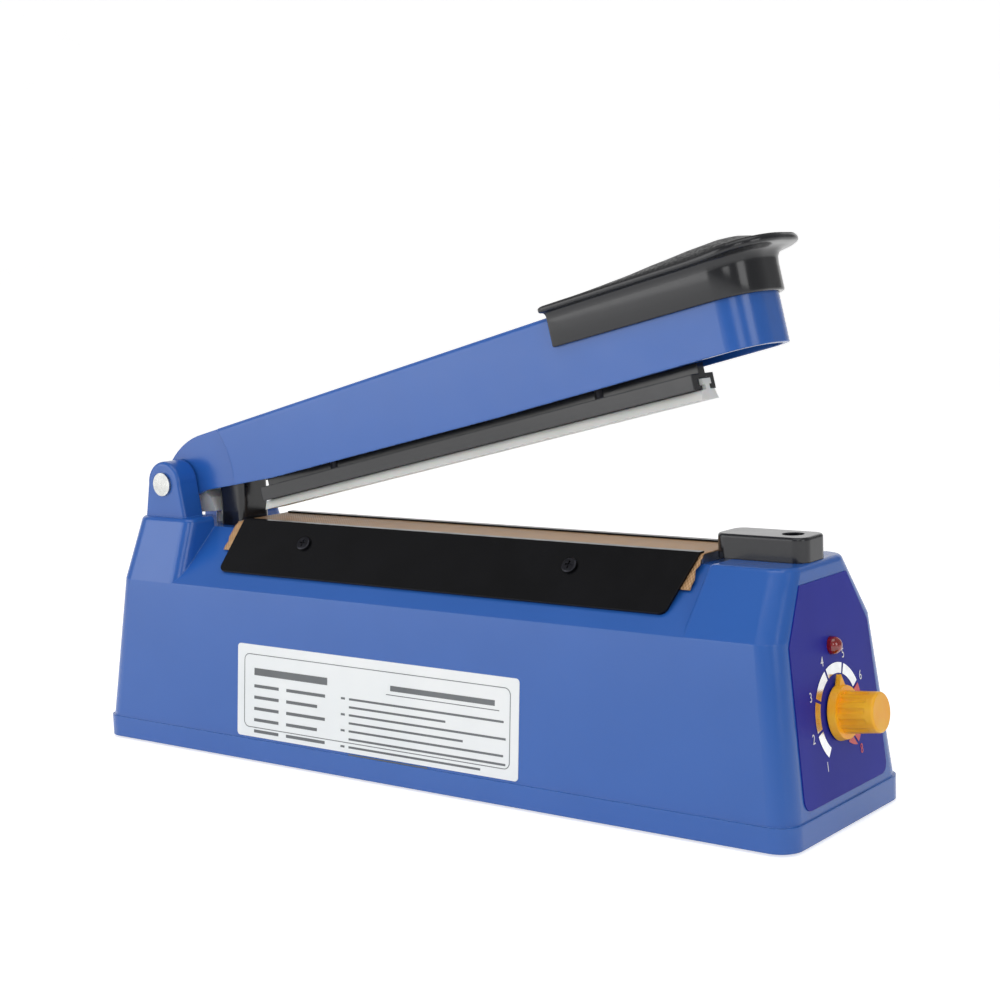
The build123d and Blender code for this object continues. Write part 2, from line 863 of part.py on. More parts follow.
def grip_screw_xs():
    return (guide_xs[1] + grip_screw_step, arm_length - nose_radius)


def grip_screws():
    under = Rot(180, 0, 0) * pan_screw(screw_radius, grip_screw_length)
    return [Pos(x, 0, ceiling(x) - wall_gap) * under for x in grip_screw_xs()]


def plan(rear, front, half, z, radius):
    """An outline seen from above with a round front end."""
    face = Pos((rear + front) / 2, 0, z) * Rectangle(front - rear, 2 * half)
    corners = face.vertices().sort_by(Axis.X)
    face = fillet(corners[-2:], radius)
    return fillet(face.vertices().sort_by(Axis.X)[:2], grip_corner)


def hand_grip():
    """The black grip: a skirt over the arm's front, a flared lip and a humped top."""
    half = arm_width / 2 + grip_wall
    front = arm_length + grip_wall
    skirt = extrude(plan(grip_rear, front, half, grip_drop, nose_radius + grip_wall), grip_seam - grip_drop)
    lip_half = half + lip_overhang
    rear = grip_rear - lip_overhang
    tip = arm_length + lip_front
    crown = [(rear, grip_seam), (rear, grip_seam + lip_thick), (hump_x - crown_run, grip_seam + crown_rise),
             (hump_x, hump_height), (arm_length, hump_height - crown_dip), (tip, grip_seam + tip_top),
             (tip, grip_seam + tip_low), (arm_length + grip_wall, grip_seam)]
    outline = plan(rear, tip, lip_half, grip_drop, lip_nose_radius)
    grip = skirt + (across(crown, lip_half) & extrude(outline, 2 * hump_height))
    pocket = arm_form(-wall_gap, arm_width / 2 + wall_gap)
    grip -= pocket
    depth = grip_screw_length + wall_gap
    for x in grip_screw_xs():
        grip -= rod(screw_radius + thread_gap, (x, 0, ceiling(x)), (x, 0, ceiling(x) + depth))
    return grip


def trigger_block():
    """The nylon cam that the arm's hub presses the switch with, clipped round the hub's tube."""
    half = trigger_width / 2
    outer = hub_tube_radius + trigger_ring
    room = box_at((-trigger_ring_back, -half, -outer), (outer, half, trigger_ring_top))
    block = across(trigger_outline, half) + (rod(outer, (0, -half, 0), (0, half, 0)) & room)
    return block - rod(hub_tube_radius + wall_gap, (0, -2 * half, 0), (0, 2 * half, 0))


# Pressing bar


def pressing_bar():
    half = bar_width / 2
    low = bar_top - bar_height
    slot_half = bar_slot_width / 2
    mouth = bar_mouth_width / 2
    web = web_thick / 2
    crest = bar_top + web_height
    points = mirrored([(-mouth, low), (-half, low), (-half, bar_top), (-web, bar_top), (-web, crest)])
    inner = [(mouth, low + bar_lip), (slot_half, low + bar_lip), (slot_half, bar_top - bar_roof)]
    outline = points + inner + [(-y, z) for y, z in reversed(inner)]
    bar = along(outline, bar_rear, bar_length)
    for x in guide_xs:
        bar -= rod(guide_radius + thread_gap, (x, 0, bar_top - bar_height / 2), (x, 0, crest + web_height))
    return bar


def silicone_strip():
    low = bar_top - bar_height
    root_half = bar_slot_width / 2 - strip_play
    neck = bar_mouth_width / 2 - strip_play
    foot = strip_width / 2
    seat = low + bar_lip + strip_play
    outline = mirrored([(-root_half, bar_top - bar_roof - strip_play), (-root_half, seat), (-neck, seat),
                        (-neck, low), (-foot + strip_chamfer, low - strip_gap), (-foot, strip_low)])
    return along(outline, bar_rear - strip_overhang, bar_length + 2 * strip_overhang)


def guide_pins():
    """Pins in the bar's web that slide in the arm's bosses, each with a collar for its spring."""
    seat = bar_top + web_height
    pins = []
    for x in guide_xs:
        pin = rod(guide_radius, (x, 0, bar_top - bar_roof), (x, 0, guide_tops))
        pins.append(pin + rod(collar_radius, (x, 0, seat), (x, 0, seat + collar_thick)))
    return pins


def pressure_springs():
    seat = bar_top + web_height + collar_thick
    springs = []
    for x in guide_xs:
        height = ceiling(x) - seat - wall_gap - pressure_spring_gap
        spring = coil(pressure_spring_radius, pressure_spring_wire, height, pressure_spring_turns)
        springs.append(Pos(x, 0, seat + wall_gap) * spring)
    return springs


# Switch


def micro_switch():
    length, width, height = switch_size
    top = floor_z
    middle = switch_middle()
    body = box_at((middle - length / 2, -width / 2, top - height), (middle + length / 2, width / 2, top))
    body -= rod(plunger_radius + running_gap, (switch_x, 0, top - plunger_well), (switch_x, 0, roof_height))
    for x in switch_screw_xs():
        body -= rod(switch_screw_radius + wall_gap, (x, -width, switch_screw_z()), (x, width, switch_screw_z()))
    lug_length, lug_thick, lug_drop = switch_lug
    for x in (middle - switch_lug_step, middle, middle + switch_lug_step):
        body += box_at((x - lug_length / 2, -lug_thick / 2, top - height - lug_drop),
                       (x + lug_length / 2, lug_thick / 2, top - height))
    return body


def switch_screws():
    half = switch_size[1] / 2
    screws = []
    for x in switch_screw_xs():
        z = switch_screw_z()
        shank = rod(switch_screw_radius, (x, -half, z), (x, half + switch_screw_bite, z))
        screws.append(shank + rod(switch_screw_head, (x, -half - screw_head, z), (x, -half, z)))
    return screws


def switch_plunger():
    pin = rod(plunger_radius, (switch_x, 0, floor_z - plunger_depth), (switch_x, 0, roof_height + plunger_rise))
    return fillet(pin.edges().sort_by(Axis.Z)[-1], plunger_round)


# Dial end


def dial_plate():
    """The printed plate round the dial, with its holes."""
    half = [width / 2 for width in dial_widths]
    level = [up_slope(z) for z in dial_heights]
    right = list(zip(half, level))
    face = make_face(Polyline(*right, *[(-y, z) for y, z in reversed(right)], close=True))
    face = fillet(face.vertices().sort_by(Axis.Y)[:2], dial_corner)
    sheet = extrude(end_frame() * face, plate_thick)
    sheet -= end_frame() * Cylinder(bushing_radius + wall_gap, wall)
    return sheet - end_frame() * Pos(0, up_slope(led_height), 0) * Cylinder(led_radius + wall_gap, wall)


def knob():
    """The fluted knob with a round skirt, bored for its shaft and hollow over the nut."""
    low = plate_thick + knob_gap
    base = (Align.CENTER, Align.CENTER, Align.MIN)
    skirt = Pos(0, 0, low) * Cone(knob_skirt_radius, knob_skirt_radius - skirt_taper, knob_skirt, align=base)
    neck = low + knob_skirt
    barrel = Pos(0, 0, neck) * Cone(knob_radius, knob_tip_radius, knob_length - knob_skirt, align=base)
    barrel = fillet(barrel.edges().sort_by(Axis.Z)[-1], knob_edge)
    root = knob_skirt_radius - 2 * skirt_taper
    pointer = make_face(Polyline((-pointer_half, root), (pointer_half, root), (0, pointer_reach), close=True))
    body = skirt + barrel + Pos(0, 0, low) * extrude(pointer, pointer_thick)
    reach = knob_radius + flute_out
    for i in range(knob_flutes):
        angle = math.radians(360 * (i + 0.5) / knob_flutes)
        place = Pos(reach * math.cos(angle), reach * math.sin(angle), neck)
        body -= place * standing(flute_radius, knob_length - knob_skirt - flute_end)
    body -= standing(nut_size / 2 + nut_clear, low + nut_thick + plate_thick)
    body -= standing(shaft_radius, low + knob_length - knob_top)
    return end_frame() * body


def pot_shaft():
    back = -wall - pot_depth / 2
    top = plate_thick + knob_gap + knob_length - knob_top
    return end_frame() * Pos(0, 0, back) * standing(shaft_radius, top - back)


def potentiometer():
    middle = -wall - pot_depth / 2
    body = Pos(0, 0, -wall - pot_depth) * standing(pot_radius, pot_depth)
    neck = Pos(0, 0, -wall) * standing(bushing_radius, wall + plate_thick + nut_thick)
    lugs = Box(*pot_lug, align=(Align.CENTER, Align.MAX, Align.CENTER))
    body += Pos(0, pot_lug[2] - pot_radius, middle) * lugs
    bore = Pos(0, 0, middle - 10 * running_gap) * standing(shaft_radius + running_gap, 4 * pot_depth)
    return end_frame() * (body + neck - bore)


def pot_nut():
    hexagon = RegularPolygon(nut_size / 2, 6, major_radius=False)
    nut = extrude(hexagon - Circle(bushing_radius), nut_thick)
    return end_frame() * Pos(0, 0, plate_thick) * nut


def led():
    """The red lamp: a round dome through the end wall, with a collar behind it."""
    barrel = Pos(0, 0, -wall - led_back) * standing(led_radius, wall + led_back + led_rise)
    dome = Pos(0, 0, led_rise) * Sphere(led_radius)
    rim, thick = led_collar
    collar = Pos(0, 0, -wall - thick) * standing(led_radius + rim, thick)
    return end_frame() * Pos(0, up_slope(led_height), 0) * (barrel + dome + collar)


def instruction_label():
    """A thin printed label on the front wall."""
    low, high = label_low, label_high
    rise = math.hypot(high - low, side_y(low) - side_y(high))
    normal = Vector(0, low - high, side_y(low) - side_y(high)).normalized()
    frame = Plane(origin=(0, -side_y(low), low), x_dir=(1, 0, 0), z_dir=normal)
    length = label_front - label_rear
    face = Pos(label_rear + length / 2, rise / 2) * RectangleRounded(length, rise, label_corner)
    return extrude(frame * face, label_thick)


def grommet_place():
    """Middle of the hinge end's wall at the gland, with z out through the wall."""
    return Pos(wall / 2 - end_x(grommet_z), grommet_y, grommet_z) * Rot(0, end_draft - 90, 0)


def cord_grommet():
    """The rubber gland in the hinge end's wall, where the mains lead goes in."""
    body = Cylinder(grommet_neck - running_gap, wall + 2 * wall_gap)
    flange = standing(grommet_radius, grommet_flange)
    reach = wall / 2 + wall_gap
    flanges = Pos(0, 0, reach) * flange + Pos(0, 0, -reach - grommet_flange) * flange
    return grommet_place() * (body + flanges - Cylinder(grommet_hole, 8 * wall))


# Electrics on the bottom plate


def floor_top():
    return plate_gap + bottom_thick


def transformer_core():
    length, thick, height = core_size
    low = floor_top()
    core = box_at((core_x - length / 2, -thick / 2, low), (core_x + length / 2, thick / 2, low + height))
    for side in (-1, 1):
        x = core_x + side * 1.5 * core_leg
        half = core_leg / 2
        core -= box_at((x - half, -thick, low + core_leg), (x + half, thick, low + height - core_leg))
    return core


def transformer_coil():
    length, thick, height = core_size
    low = floor_top() + core_leg + coil_gap
    high = floor_top() + height - core_leg - coil_gap
    half_x = 2 * core_leg - coil_gap
    half_y = thick / 2 + coil_bulge
    winding = box_at((core_x - half_x, -half_y, low), (core_x + half_x, half_y, high))
    winding = fillet(winding.edges().filter_by(Axis.Z), coil_corner)
    leg_x = core_leg + coil_gap / 2
    leg_y = thick / 2 + coil_gap / 2
    return winding - box_at((core_x - leg_x, -leg_y, 0), (core_x + leg_x, leg_y, beyond))


def strap_screw_xs():
    reach = core_size[0] / 2 + strap_thick + strap_foot / 2
    return (core_x - reach, core_x + reach)


def transformer_strap():
    """A steel strap over the core, with a foot at each side screwed to the bottom plate."""
    low = floor_top()
    half = core_size[0] / 2
    high = low + core_size[2]
    outer = half + strap_thick
    foot = outer + strap_foot
    side = [(foot, low), (foot, low + strap_thick), (outer, low + strap_thick), (outer, high + strap_thick)]
    inner = [(half, low), (half, high)]
    points = side + [(-x, z) for x, z in reversed(side)] + [(-x, z) for x, z in inner] + list(reversed(inner))
    strap = Pos(core_x, 0, 0) * across(points, strap_width / 2)
    for x in strap_screw_xs():
        strap -= rod(screw_radius + wall_gap, (x, 0, 0), (x, 0, low + 2 * strap_thick))
    return strap


def strap_screws():
    screw = pan_screw(screw_radius, strap_thick + strap_screw_bite)
    return [Pos(x, 0, floor_top() + strap_thick) * screw for x in strap_screw_xs()]


def standoff_places():
    half_x = board_size[0] / 2 - standoff_in
    half_y = board_size[1] / 2 - standoff_in
    return [(board_x + i * half_x, j * half_y) for i in (-1, 1) for j in (-1, 1)]


def board_low():
    return floor_top() + standoff_height


def board_standoffs():
    return [rod(standoff_radius, (x, y, floor_top()), (x, y, board_low()))
            - rod(screw_radius, (x, y, 0), (x, y, 2 * board_low())) for x, y in standoff_places()]


def board_screws():
    top = board_low() + board_size[2]
    return [Pos(x, y, top) * pan_screw(screw_radius, board_screw_length) for x, y in standoff_places()]


def timer_board():
    half_x, half_y = board_size[0] / 2, board_size[1] / 2
    low = board_low()
    board = box_at((board_x - half_x, -half_y, low), (board_x + half_x, half_y, low + board_size[2]))
    for x, y in standoff_places():
        board -= rod(screw_radius + wall_gap, (x, y, 0), (x, y, 2 * board_low()))
    return board


def relay():
    length, width, height = relay_size
    low = board_low() + board_size[2]
    return box_at((board_x - length, -width, low), (board_x, 0, low + height))


def capacitor():
    low = board_low() + board_size[2]
    x, y = board_x + capacitor_place[0], capacitor_place[1]
    can = rod(capacitor_radius, (x, y, low), (x, y, low + capacitor_height))
    return fillet(can.edges().sort_by(Axis.Z)[-1], capacitor_edge)


def timer_chip():
    low = board_low() + board_size[2]
    x, y = board_x + chip_place[0], chip_place[1]
    lift = Pos(x, y, low + chip_lift)
    chip = lift * Box(*chip_size, align=(Align.CENTER, Align.CENTER, Align.MIN))
    for i in range(chip_pins):
        step = (i - (chip_pins - 1) / 2) * chip_pitch
        chip += Pos(x + step, y, low) * Box(*chip_pin, align=(Align.CENTER, Align.CENTER, Align.MIN))
    return chip


os.makedirs("parts", exist_ok=True)

single = [housing, bottom_plate, platform, insulating_tape, heating_element, cloth, terminal_cover, cover_screw,
          spring_post, return_spring, hinge_pin, pin_clip, arm_shell, hand_grip, trigger_block, pressing_bar,
          silicone_strip, micro_switch, switch_plunger, dial_plate, knob, pot_shaft, potentiometer, pot_nut, led,
          instruction_label, cord_grommet, transformer_core, transformer_coil, transformer_strap, timer_board, relay,
          capacitor, timer_chip]
groups = [feet, bottom_screws, platform_screws, element_terminals, clamp_screws, clamp_spacers, post_screws,
          grip_screws, guide_pins, pressure_springs, switch_screws, strap_screws, board_standoffs, board_screws]
on_arm = (arm_shell, hand_grip, trigger_block, pressing_bar, silicone_strip, grip_screws, guide_pins,
          pressure_springs)

for build in single + groups:
    pieces = build() if build in groups else [build()]
    save(build.__name__, [raised(piece) for piece in pieces] if build in on_arm else pieces)

front_clamp = clamp_plate()
save("front_clamp_plate", [front_clamp])
save("rear_clamp_plate", [mirror(front_clamp, Plane.XZ)])
print("x of the row's origin in the drawing", round(origin_x, 3))
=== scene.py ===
import json
import math
import bpy
import bmesh
from mathutils import Matrix, Vector, noise


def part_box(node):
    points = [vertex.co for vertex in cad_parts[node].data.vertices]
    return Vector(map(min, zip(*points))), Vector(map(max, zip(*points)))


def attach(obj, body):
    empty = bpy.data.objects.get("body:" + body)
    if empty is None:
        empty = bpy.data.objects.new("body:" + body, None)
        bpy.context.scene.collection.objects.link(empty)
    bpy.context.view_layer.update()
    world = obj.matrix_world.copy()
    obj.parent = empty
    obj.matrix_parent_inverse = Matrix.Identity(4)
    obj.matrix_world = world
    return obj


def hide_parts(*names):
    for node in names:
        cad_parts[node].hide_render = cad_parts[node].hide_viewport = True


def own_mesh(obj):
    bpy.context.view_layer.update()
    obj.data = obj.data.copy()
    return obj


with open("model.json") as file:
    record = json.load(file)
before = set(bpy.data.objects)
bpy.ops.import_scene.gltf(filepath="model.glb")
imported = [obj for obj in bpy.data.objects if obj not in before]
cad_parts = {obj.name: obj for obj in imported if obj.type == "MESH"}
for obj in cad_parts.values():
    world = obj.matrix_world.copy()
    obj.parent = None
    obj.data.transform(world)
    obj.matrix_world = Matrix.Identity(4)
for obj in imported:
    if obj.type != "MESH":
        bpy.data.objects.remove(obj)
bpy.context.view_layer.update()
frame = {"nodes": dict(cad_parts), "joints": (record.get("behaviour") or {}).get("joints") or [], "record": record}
scene = bpy.context.scene
nodes = frame["nodes"]
joints = {joint["name"]: joint for joint in frame["joints"]}
mm = 0.001
print("frame loaded:", len(nodes), "nodes")

# The arm is described lying shut, in millimetres from the hinge, and these turn it up to its open rest.
hinge = Vector(joints["arm_hinge"]["pos_m"])
openAngle = math.radians(joints["arm_hinge"]["range_deg"][1])
openCos, openSin = math.cos(openAngle), math.sin(openAngle)


def onArm(x, y, z):
    return hinge + Vector((x * openCos - z * openSin, y, x * openSin + z * openCos)) * mm


# The dial is described on the end wall, in millimetres from the knob's axis: across, up the slope, and out.
knobJoint = joints["knob_turn"]
dialOut = Vector(knobJoint["axis"]).normalized()
dialUp = Vector((-dialOut.z, 0, dialOut.x))
dialCentre = Vector(knobJoint["pos_m"])


def onDial(across, up, out):
    return dialCentre + (Vector((0, across, 0)) + dialUp * up + dialOut * out) * mm


# Camera and light
view = {"eye": (0.42644, -0.53934, 0.1865), "azimuth": 37.45, "elevation": 7.07, "roll": -2.07,
        "lens": 66.93}


def placeCamera():
    az, el, roll = (math.radians(view[key]) for key in ("azimuth", "elevation", "roll"))
    forward = Vector((-math.sin(az) * math.cos(el), math.cos(az) * math.cos(el), -math.sin(el)))
    level = Vector((math.cos(az), math.sin(az), 0))
    upright = level.cross(forward)
    right = level * math.cos(roll) + upright * math.sin(roll)
    up = upright * math.cos(roll) - level * math.sin(roll)
    data = bpy.data.cameras.new("camera")
    data.lens, data.sensor_width = view["lens"], 36
    data.clip_start, data.clip_end = 0.01, 50
    camera = bpy.data.objects.new("camera", data)
    turned = Matrix((right, up, -forward)).transposed().to_4x4()
    camera.matrix_world = Matrix.Translation(view["eye"]) @ turned
    scene.collection.objects.link(camera)
    scene.camera = camera


def addSoftbox(name, place, target, width, height, brightness):
    data = bpy.data.lights.new(name, "AREA")
    data.shape, data.size, data.size_y = "RECTANGLE", width, height
    data.energy = brightness * math.pi * width * height   # a softbox this bright looks the same at any size
    lamp = bpy.data.objects.new(name, data)
    lamp.location = place
    lamp.rotation_mode = "QUATERNION"
    lamp.rotation_quaternion = (Vector(target) - Vector(place)).to_track_quat("-Z", "Y")
    scene.collection.objects.link(lamp)


placeCamera()
studio = {"ambient": 0.4, "floor": "#F4F4F4", "floorGlow": 0.64}
addSoftbox("topSoftbox", (0.1, -0.25, 1.1), (0, 0, 0.05), 0.9, 0.7, 1.6)
addSoftbox("leftSoftbox", (-0.72, -0.9, 0.34), (0, 0, 0.1), 1.0, 0.62, 2.2)
addSoftbox("endSoftbox", (1.1, -0.35, 0.45), (0.1, 0, 0.06), 0.4, 0.6, 2.6)
addSoftbox("fillSoftbox", (0.62, -0.95, 0.5), (0, 0, 0.08), 0.35, 0.5, 2.3)
scene.view_settings.view_transform = "Standard"
print("camera and light set")


# Materials
def toLinear(colour):                           # an sRGB hex colour as Blender's linear one
    parts = [int(colour[i:i + 2], 16) / 255 for i in (1, 3, 5)]
    return tuple(c / 12.92 if c <= 0.04045 else ((c + 0.055) / 1.055) ** 2.4 for c in parts) + (1.0,)


def addNode(tree, kind, settings=None, links=None):
    node = tree.nodes.new(kind)
    for key, value in (settings or {}).items():
        if isinstance(key, str) and hasattr(node, key):
            setattr(node, key, value)
        else:
            node.inputs[key].default_value = value
    for key, source in (links or {}).items():
        tree.links.new(source if isinstance(source, bpy.types.NodeSocket) else source.outputs[0],
                       node.inputs[key])
    return node


def startMaterial(name, roughness=0.5, **sockets):
    material = bpy.data.materials.new(name)
    material.use_nodes = True
    tree = material.node_tree
    shader = tree.nodes["Principled BSDF"]
    shader.inputs["Roughness"].default_value = roughness
    for key, value in sockets.items():
        shader.inputs[key.replace("_", " ")].default_value = value
    place = addNode(tree, "ShaderNodeTexCoord").outputs["Object"]
    return material, tree, shader, place


# soft noise whose patches are size millimetres across
def vary(tree, place, size, detail=3.0, stretch=(1, 1, 1)):
    scaled = addNode(tree, "ShaderNodeMapping", {"Scale": tuple(s / (size * mm) for s in stretch)},
                     {"Vector": place})
    return addNode(tree, "ShaderNodeTexNoise", {"Scale": 1.0, "Detail": detail}, {"Vector": scaled})


# a mask turned into the body colour, from its darkest to its lightest
def tint(tree, shader, mask, dark, light, low=0.3, high=0.7):
    ramp = addNode(tree, "ShaderNodeValToRGB", None, {"Fac": mask})
    ramp.color_ramp.elements[0].position, ramp.color_ramp.elements[0].color = low, toLinear(dark)
    ramp.color_ramp.elements[1].position, ramp.color_ramp.elements[1].color = high, toLinear(light)
    tree.links.new(ramp.outputs["Color"], shader.inputs["Base Color"])
    return ramp


def gloss(tree, shader, mask, low, high):
    ranged = addNode(tree, "ShaderNodeMapRange",
                     {"To Min": low, "To Max": high, "From Min": 0.3, "From Max": 0.7}, {"Value": mask})
    tree.links.new(ranged.outputs["Result"], shader.inputs["Roughness"])


# fine surface relief, and rounded edges where an edge radius is given in millimetres
def relief(tree, shader, mask, depth, edge=0.0, strength=1.0):
    links = {"Height": mask}
    if edge:
        links["Normal"] = addNode(tree, "ShaderNodeBevel", {"samples": 4, "Radius": edge * mm})
    bump = addNode(tree, "ShaderNodeBump", {"Strength": strength, "Distance": depth * mm}, links)
    tree.links.new(bump.outputs["Normal"], shader.inputs["Normal"])


# a mask of the piece's edges, where a paler colour is mixed in as a painted highlight
def edgeMask(tree, width):
    rounded = addNode(tree, "ShaderNodeBevel", {"samples": 4, "Radius": width * mm})
    flat = addNode(tree, "ShaderNodeNewGeometry").outputs["Normal"]
    alike = addNode(tree, "ShaderNodeVectorMath", {"operation": "DOT_PRODUCT"}, {0: rounded, 1: flat})
    return addNode(tree, "ShaderNodeMath", {"operation": "SUBTRACT", "use_clamp": True, 0: 1.0},
                   {1: alike.outputs["Value"]})


def mouldedAbs(name, dark, light, edgeHighlight, roughness, edge=0.7, peel=2.4, peelDepth=0.003):
    # ABS from a polished mould: an even body colour, a soft sheen,
    # faint orange peel and a paler colour on its edges as a painted highlight
    material, tree, shader, place = startMaterial(name, roughness, IOR=1.52)
    clouds = vary(tree, place, 38, 2)
    ramp = tint(tree, shader, clouds, dark, light)
    # painted highlight: the edges get the paler highlight colour mixed into the body colour
    highlightMask = addNode(tree, "ShaderNodeMath", {"operation": "MULTIPLY", "use_clamp": True, 1: 1.6},
                  {0: edgeMask(tree, 0.5)})
    mix = addNode(tree, "ShaderNodeMix", {"data_type": "RGBA"}, {0: highlightMask, 6: ramp.outputs["Color"]})
    mix.inputs[7].default_value = toLinear(edgeHighlight)
    tree.links.new(mix.outputs[2], shader.inputs["Base Color"])
    gloss(tree, shader, vary(tree, place, 9, 4), roughness - 0.02, roughness + 0.03)
    relief(tree, shader, vary(tree, place, peel, 1), peelDepth, edge)
    return material


def grainedAbs(name):
    # ABS with an etched leather grain, which stops a thumb slipping: fine pebbles with duller valleys
    material, tree, shader, place = startMaterial(name, 0.5, IOR=1.52)
    scaled = addNode(tree, "ShaderNodeMapping", {"Scale": (1 / (1.1 * mm),) * 3}, {"Vector": place})
    pebbles = addNode(tree, "ShaderNodeTexVoronoi",
                      {"feature": "SMOOTH_F1", "Scale": 1.0, "Smoothness": 0.6}, {"Vector": scaled})
    tint(tree, shader, pebbles.outputs["Distance"], "#1F2022", "#0D0D0F", 0.1, 0.8)
    gloss(tree, shader, pebbles.outputs["Distance"], 0.38, 0.62)
    relief(tree, shader, pebbles.outputs["Distance"], 0.22, 0, 0.9)
    return material


def enamelledSteel(name):
    # sheet steel under baked black enamel: deep gloss with a slow ripple and a thin bright line on its folds
    material, tree, shader, place = startMaterial(name, 0.2, IOR=1.5, Specular_IOR_Level=0.16)
    tint(tree, shader, vary(tree, place, 20, 3), "#0A0A0C", "#0F0F12")
    gloss(tree, shader, vary(tree, place, 6, 4), 0.16, 0.27)
    relief(tree, shader, vary(tree, place, 4, 2), 0.02, 0.5)
    return material


def platedMetal(name, dark, light, roughness, stretch=(1, 1, 1), size=0.8, depth=0.006, edge=0.25):
    # metal as drawn, rolled or plated: fine marks along its working direction and patches of duller film
    material, tree, shader, place = startMaterial(name, roughness, Metallic=1.0)
    tint(tree, shader, vary(tree, place, 4, 4, stretch), dark, light)
    gloss(tree, shader, vary(tree, place, size, 3, stretch), roughness - 0.08, roughness + 0.1)
    relief(tree, shader, vary(tree, place, size, 2, stretch), depth, edge)
    return material


def silicone(name):
    # extruded silicone rubber: milky, slightly waxy, with faint lines along the extrusion
    material, tree, shader, place = startMaterial(name, 0.42, IOR=1.41, Subsurface_Weight=0.15,
                                                  Subsurface_Scale=0.002)
    tint(tree, shader, vary(tree, place, 25, 2), "#E3E4DF", "#F1F2EE")
    relief(tree, shader, vary(tree, place, 0.5, 1, (0.03, 1, 1)), 0.01, 0.3)
    return material


def nylon(name):
    # natural nylon, moulded: a warm translucent white with a satin skin
    material, tree, shader, place = startMaterial(name, 0.34, IOR=1.53, Subsurface_Weight=0.2,
                                                  Subsurface_Scale=0.002)
    tint(tree, shader, vary(tree, place, 12, 2), "#F0EFEA", "#FAF9F6")
    relief(tree, shader, vary(tree, place, 1.0, 1), 0.01, 0.5)
    return material


def wovenCloth(name, hollow, thread, spacing, depth, roughness, ior=1.4):
    # a plain weave whose threads cross over and under,
    # filled with a smooth coating that leaves the gaps darker
    material, tree, shader, place = startMaterial(name, roughness, IOR=ior)
    turn = math.pi / (spacing * mm)
    split = addNode(tree, "ShaderNodeSeparateXYZ", None,
                    {0: addNode(tree, "ShaderNodeVectorMath", {"operation": "SCALE", "Scale": turn},
                                {0: place}).outputs["Vector"]})
    warp = addNode(tree, "ShaderNodeMath", {"operation": "SINE"}, {0: split.outputs["X"]})
    weft = addNode(tree, "ShaderNodeMath", {"operation": "SINE"}, {0: split.outputs["Y"]})
    both = addNode(tree, "ShaderNodeMath", {"operation": "MULTIPLY"}, {0: warp, 1: weft})
    height = addNode(tree, "ShaderNodeMapRange", {"From Min": -1.0, "From Max": 1.0}, {"Value": both})
    uneven = vary(tree, place, 3.0, 4)
    weave = addNode(tree, "ShaderNodeMix", {"data_type": "FLOAT", 0: 0.45},
                    {2: height.outputs["Result"], 3: uneven})
    tint(tree, shader, weave, hollow, thread, 0.25, 0.75)
    gloss(tree, shader, uneven, roughness - 0.06, roughness + 0.1)
    relief(tree, shader, height.outputs["Result"], depth)
    return material


def printedFilm(name, dark, light, roughness, size=30, coat=0.3, sheen=0.5):
    # ink under a clear film: flat colour with a hint of squeegee streaks and an even gloss
    material, tree, shader, place = startMaterial(name, roughness, IOR=1.49, Coat_Weight=coat,
                                                  Coat_Roughness=0.12, Specular_IOR_Level=sheen)
    tint(tree, shader, vary(tree, place, size, 3, (1, 1, 0.4)), dark, light)
    relief(tree, shader, vary(tree, place, 2.5, 2), 0.006)
    return material


def foil(name):
    # hot-stamped silver foil: mirror bright, slightly crinkled by the plate under it
    material, tree, shader, place = startMaterial(name, 0.2, Metallic=1.0)
    tint(tree, shader, vary(tree, place, 3, 4), "#D9DADC", "#F0F1F2")
    relief(tree, shader, vary(tree, place, 1.2, 3), 0.02)
    return material


def softRubber(name):
    # moulded rubber: nearly black, matt, with a fine bloom
    material, tree, shader, place = startMaterial(name, 0.72, IOR=1.52)
    tint(tree, shader, vary(tree, place, 5, 4), "#161617", "#232324")
    relief(tree, shader, vary(tree, place, 0.4, 3), 0.03, 0.4)
    return material


def knobPlastic(name):
    # amber ABS, slightly translucent so that its ribs glow, with a worn satin skin
    material, tree, shader, place = startMaterial(name, 0.36, IOR=1.52, Subsurface_Weight=0.06,
                                                  Subsurface_Scale=0.002)
    shader.inputs["Subsurface Radius"].default_value = (1.0, 0.45, 0.1)
    tint(tree, shader, vary(tree, place, 8, 2), "#FFAE12", "#FFBE22")
    gloss(tree, shader, vary(tree, place, 3, 3), 0.3, 0.42)
    relief(tree, shader, vary(tree, place, 0.9, 1), 0.012, 0.5)
    return material


def redLens(name):
    # tinted epoxy over the lamp's die: a deep red body with a hard clear skin
    material, tree, shader, place = startMaterial(name, 0.08, IOR=1.55, Transmission_Weight=0.35,
                                                  Coat_Weight=0.6, Coat_Roughness=0.04)
    tint(tree, shader, vary(tree, place, 2.5, 2), "#8A0A0A", "#B5120F")
    relief(tree, shader, vary(tree, place, 1.5, 1), 0.01)
    return material


def laminatedSteel(name):
    # a stack of varnished laminations: fine dark joints between the sheets, rust-brown patches in the varnish
    material, tree, shader, place = startMaterial(name, 0.42, Metallic=0.85)
    bands = addNode(tree, "ShaderNodeTexWave",
                    {"bands_direction": "Y", "Scale": 1 / (1.0 * mm) / 2,
                     "Distortion": 0.2}, {"Vector": place})
    mixed = addNode(tree, "ShaderNodeMix", {"data_type": "FLOAT", 0: 0.5},
                    {2: bands.outputs["Fac"], 3: vary(tree, place, 6, 4)})
    tint(tree, shader, mixed, "#3A3531", "#76726D")
    relief(tree, shader, bands.outputs["Fac"], 0.05, 0.2)
    return material


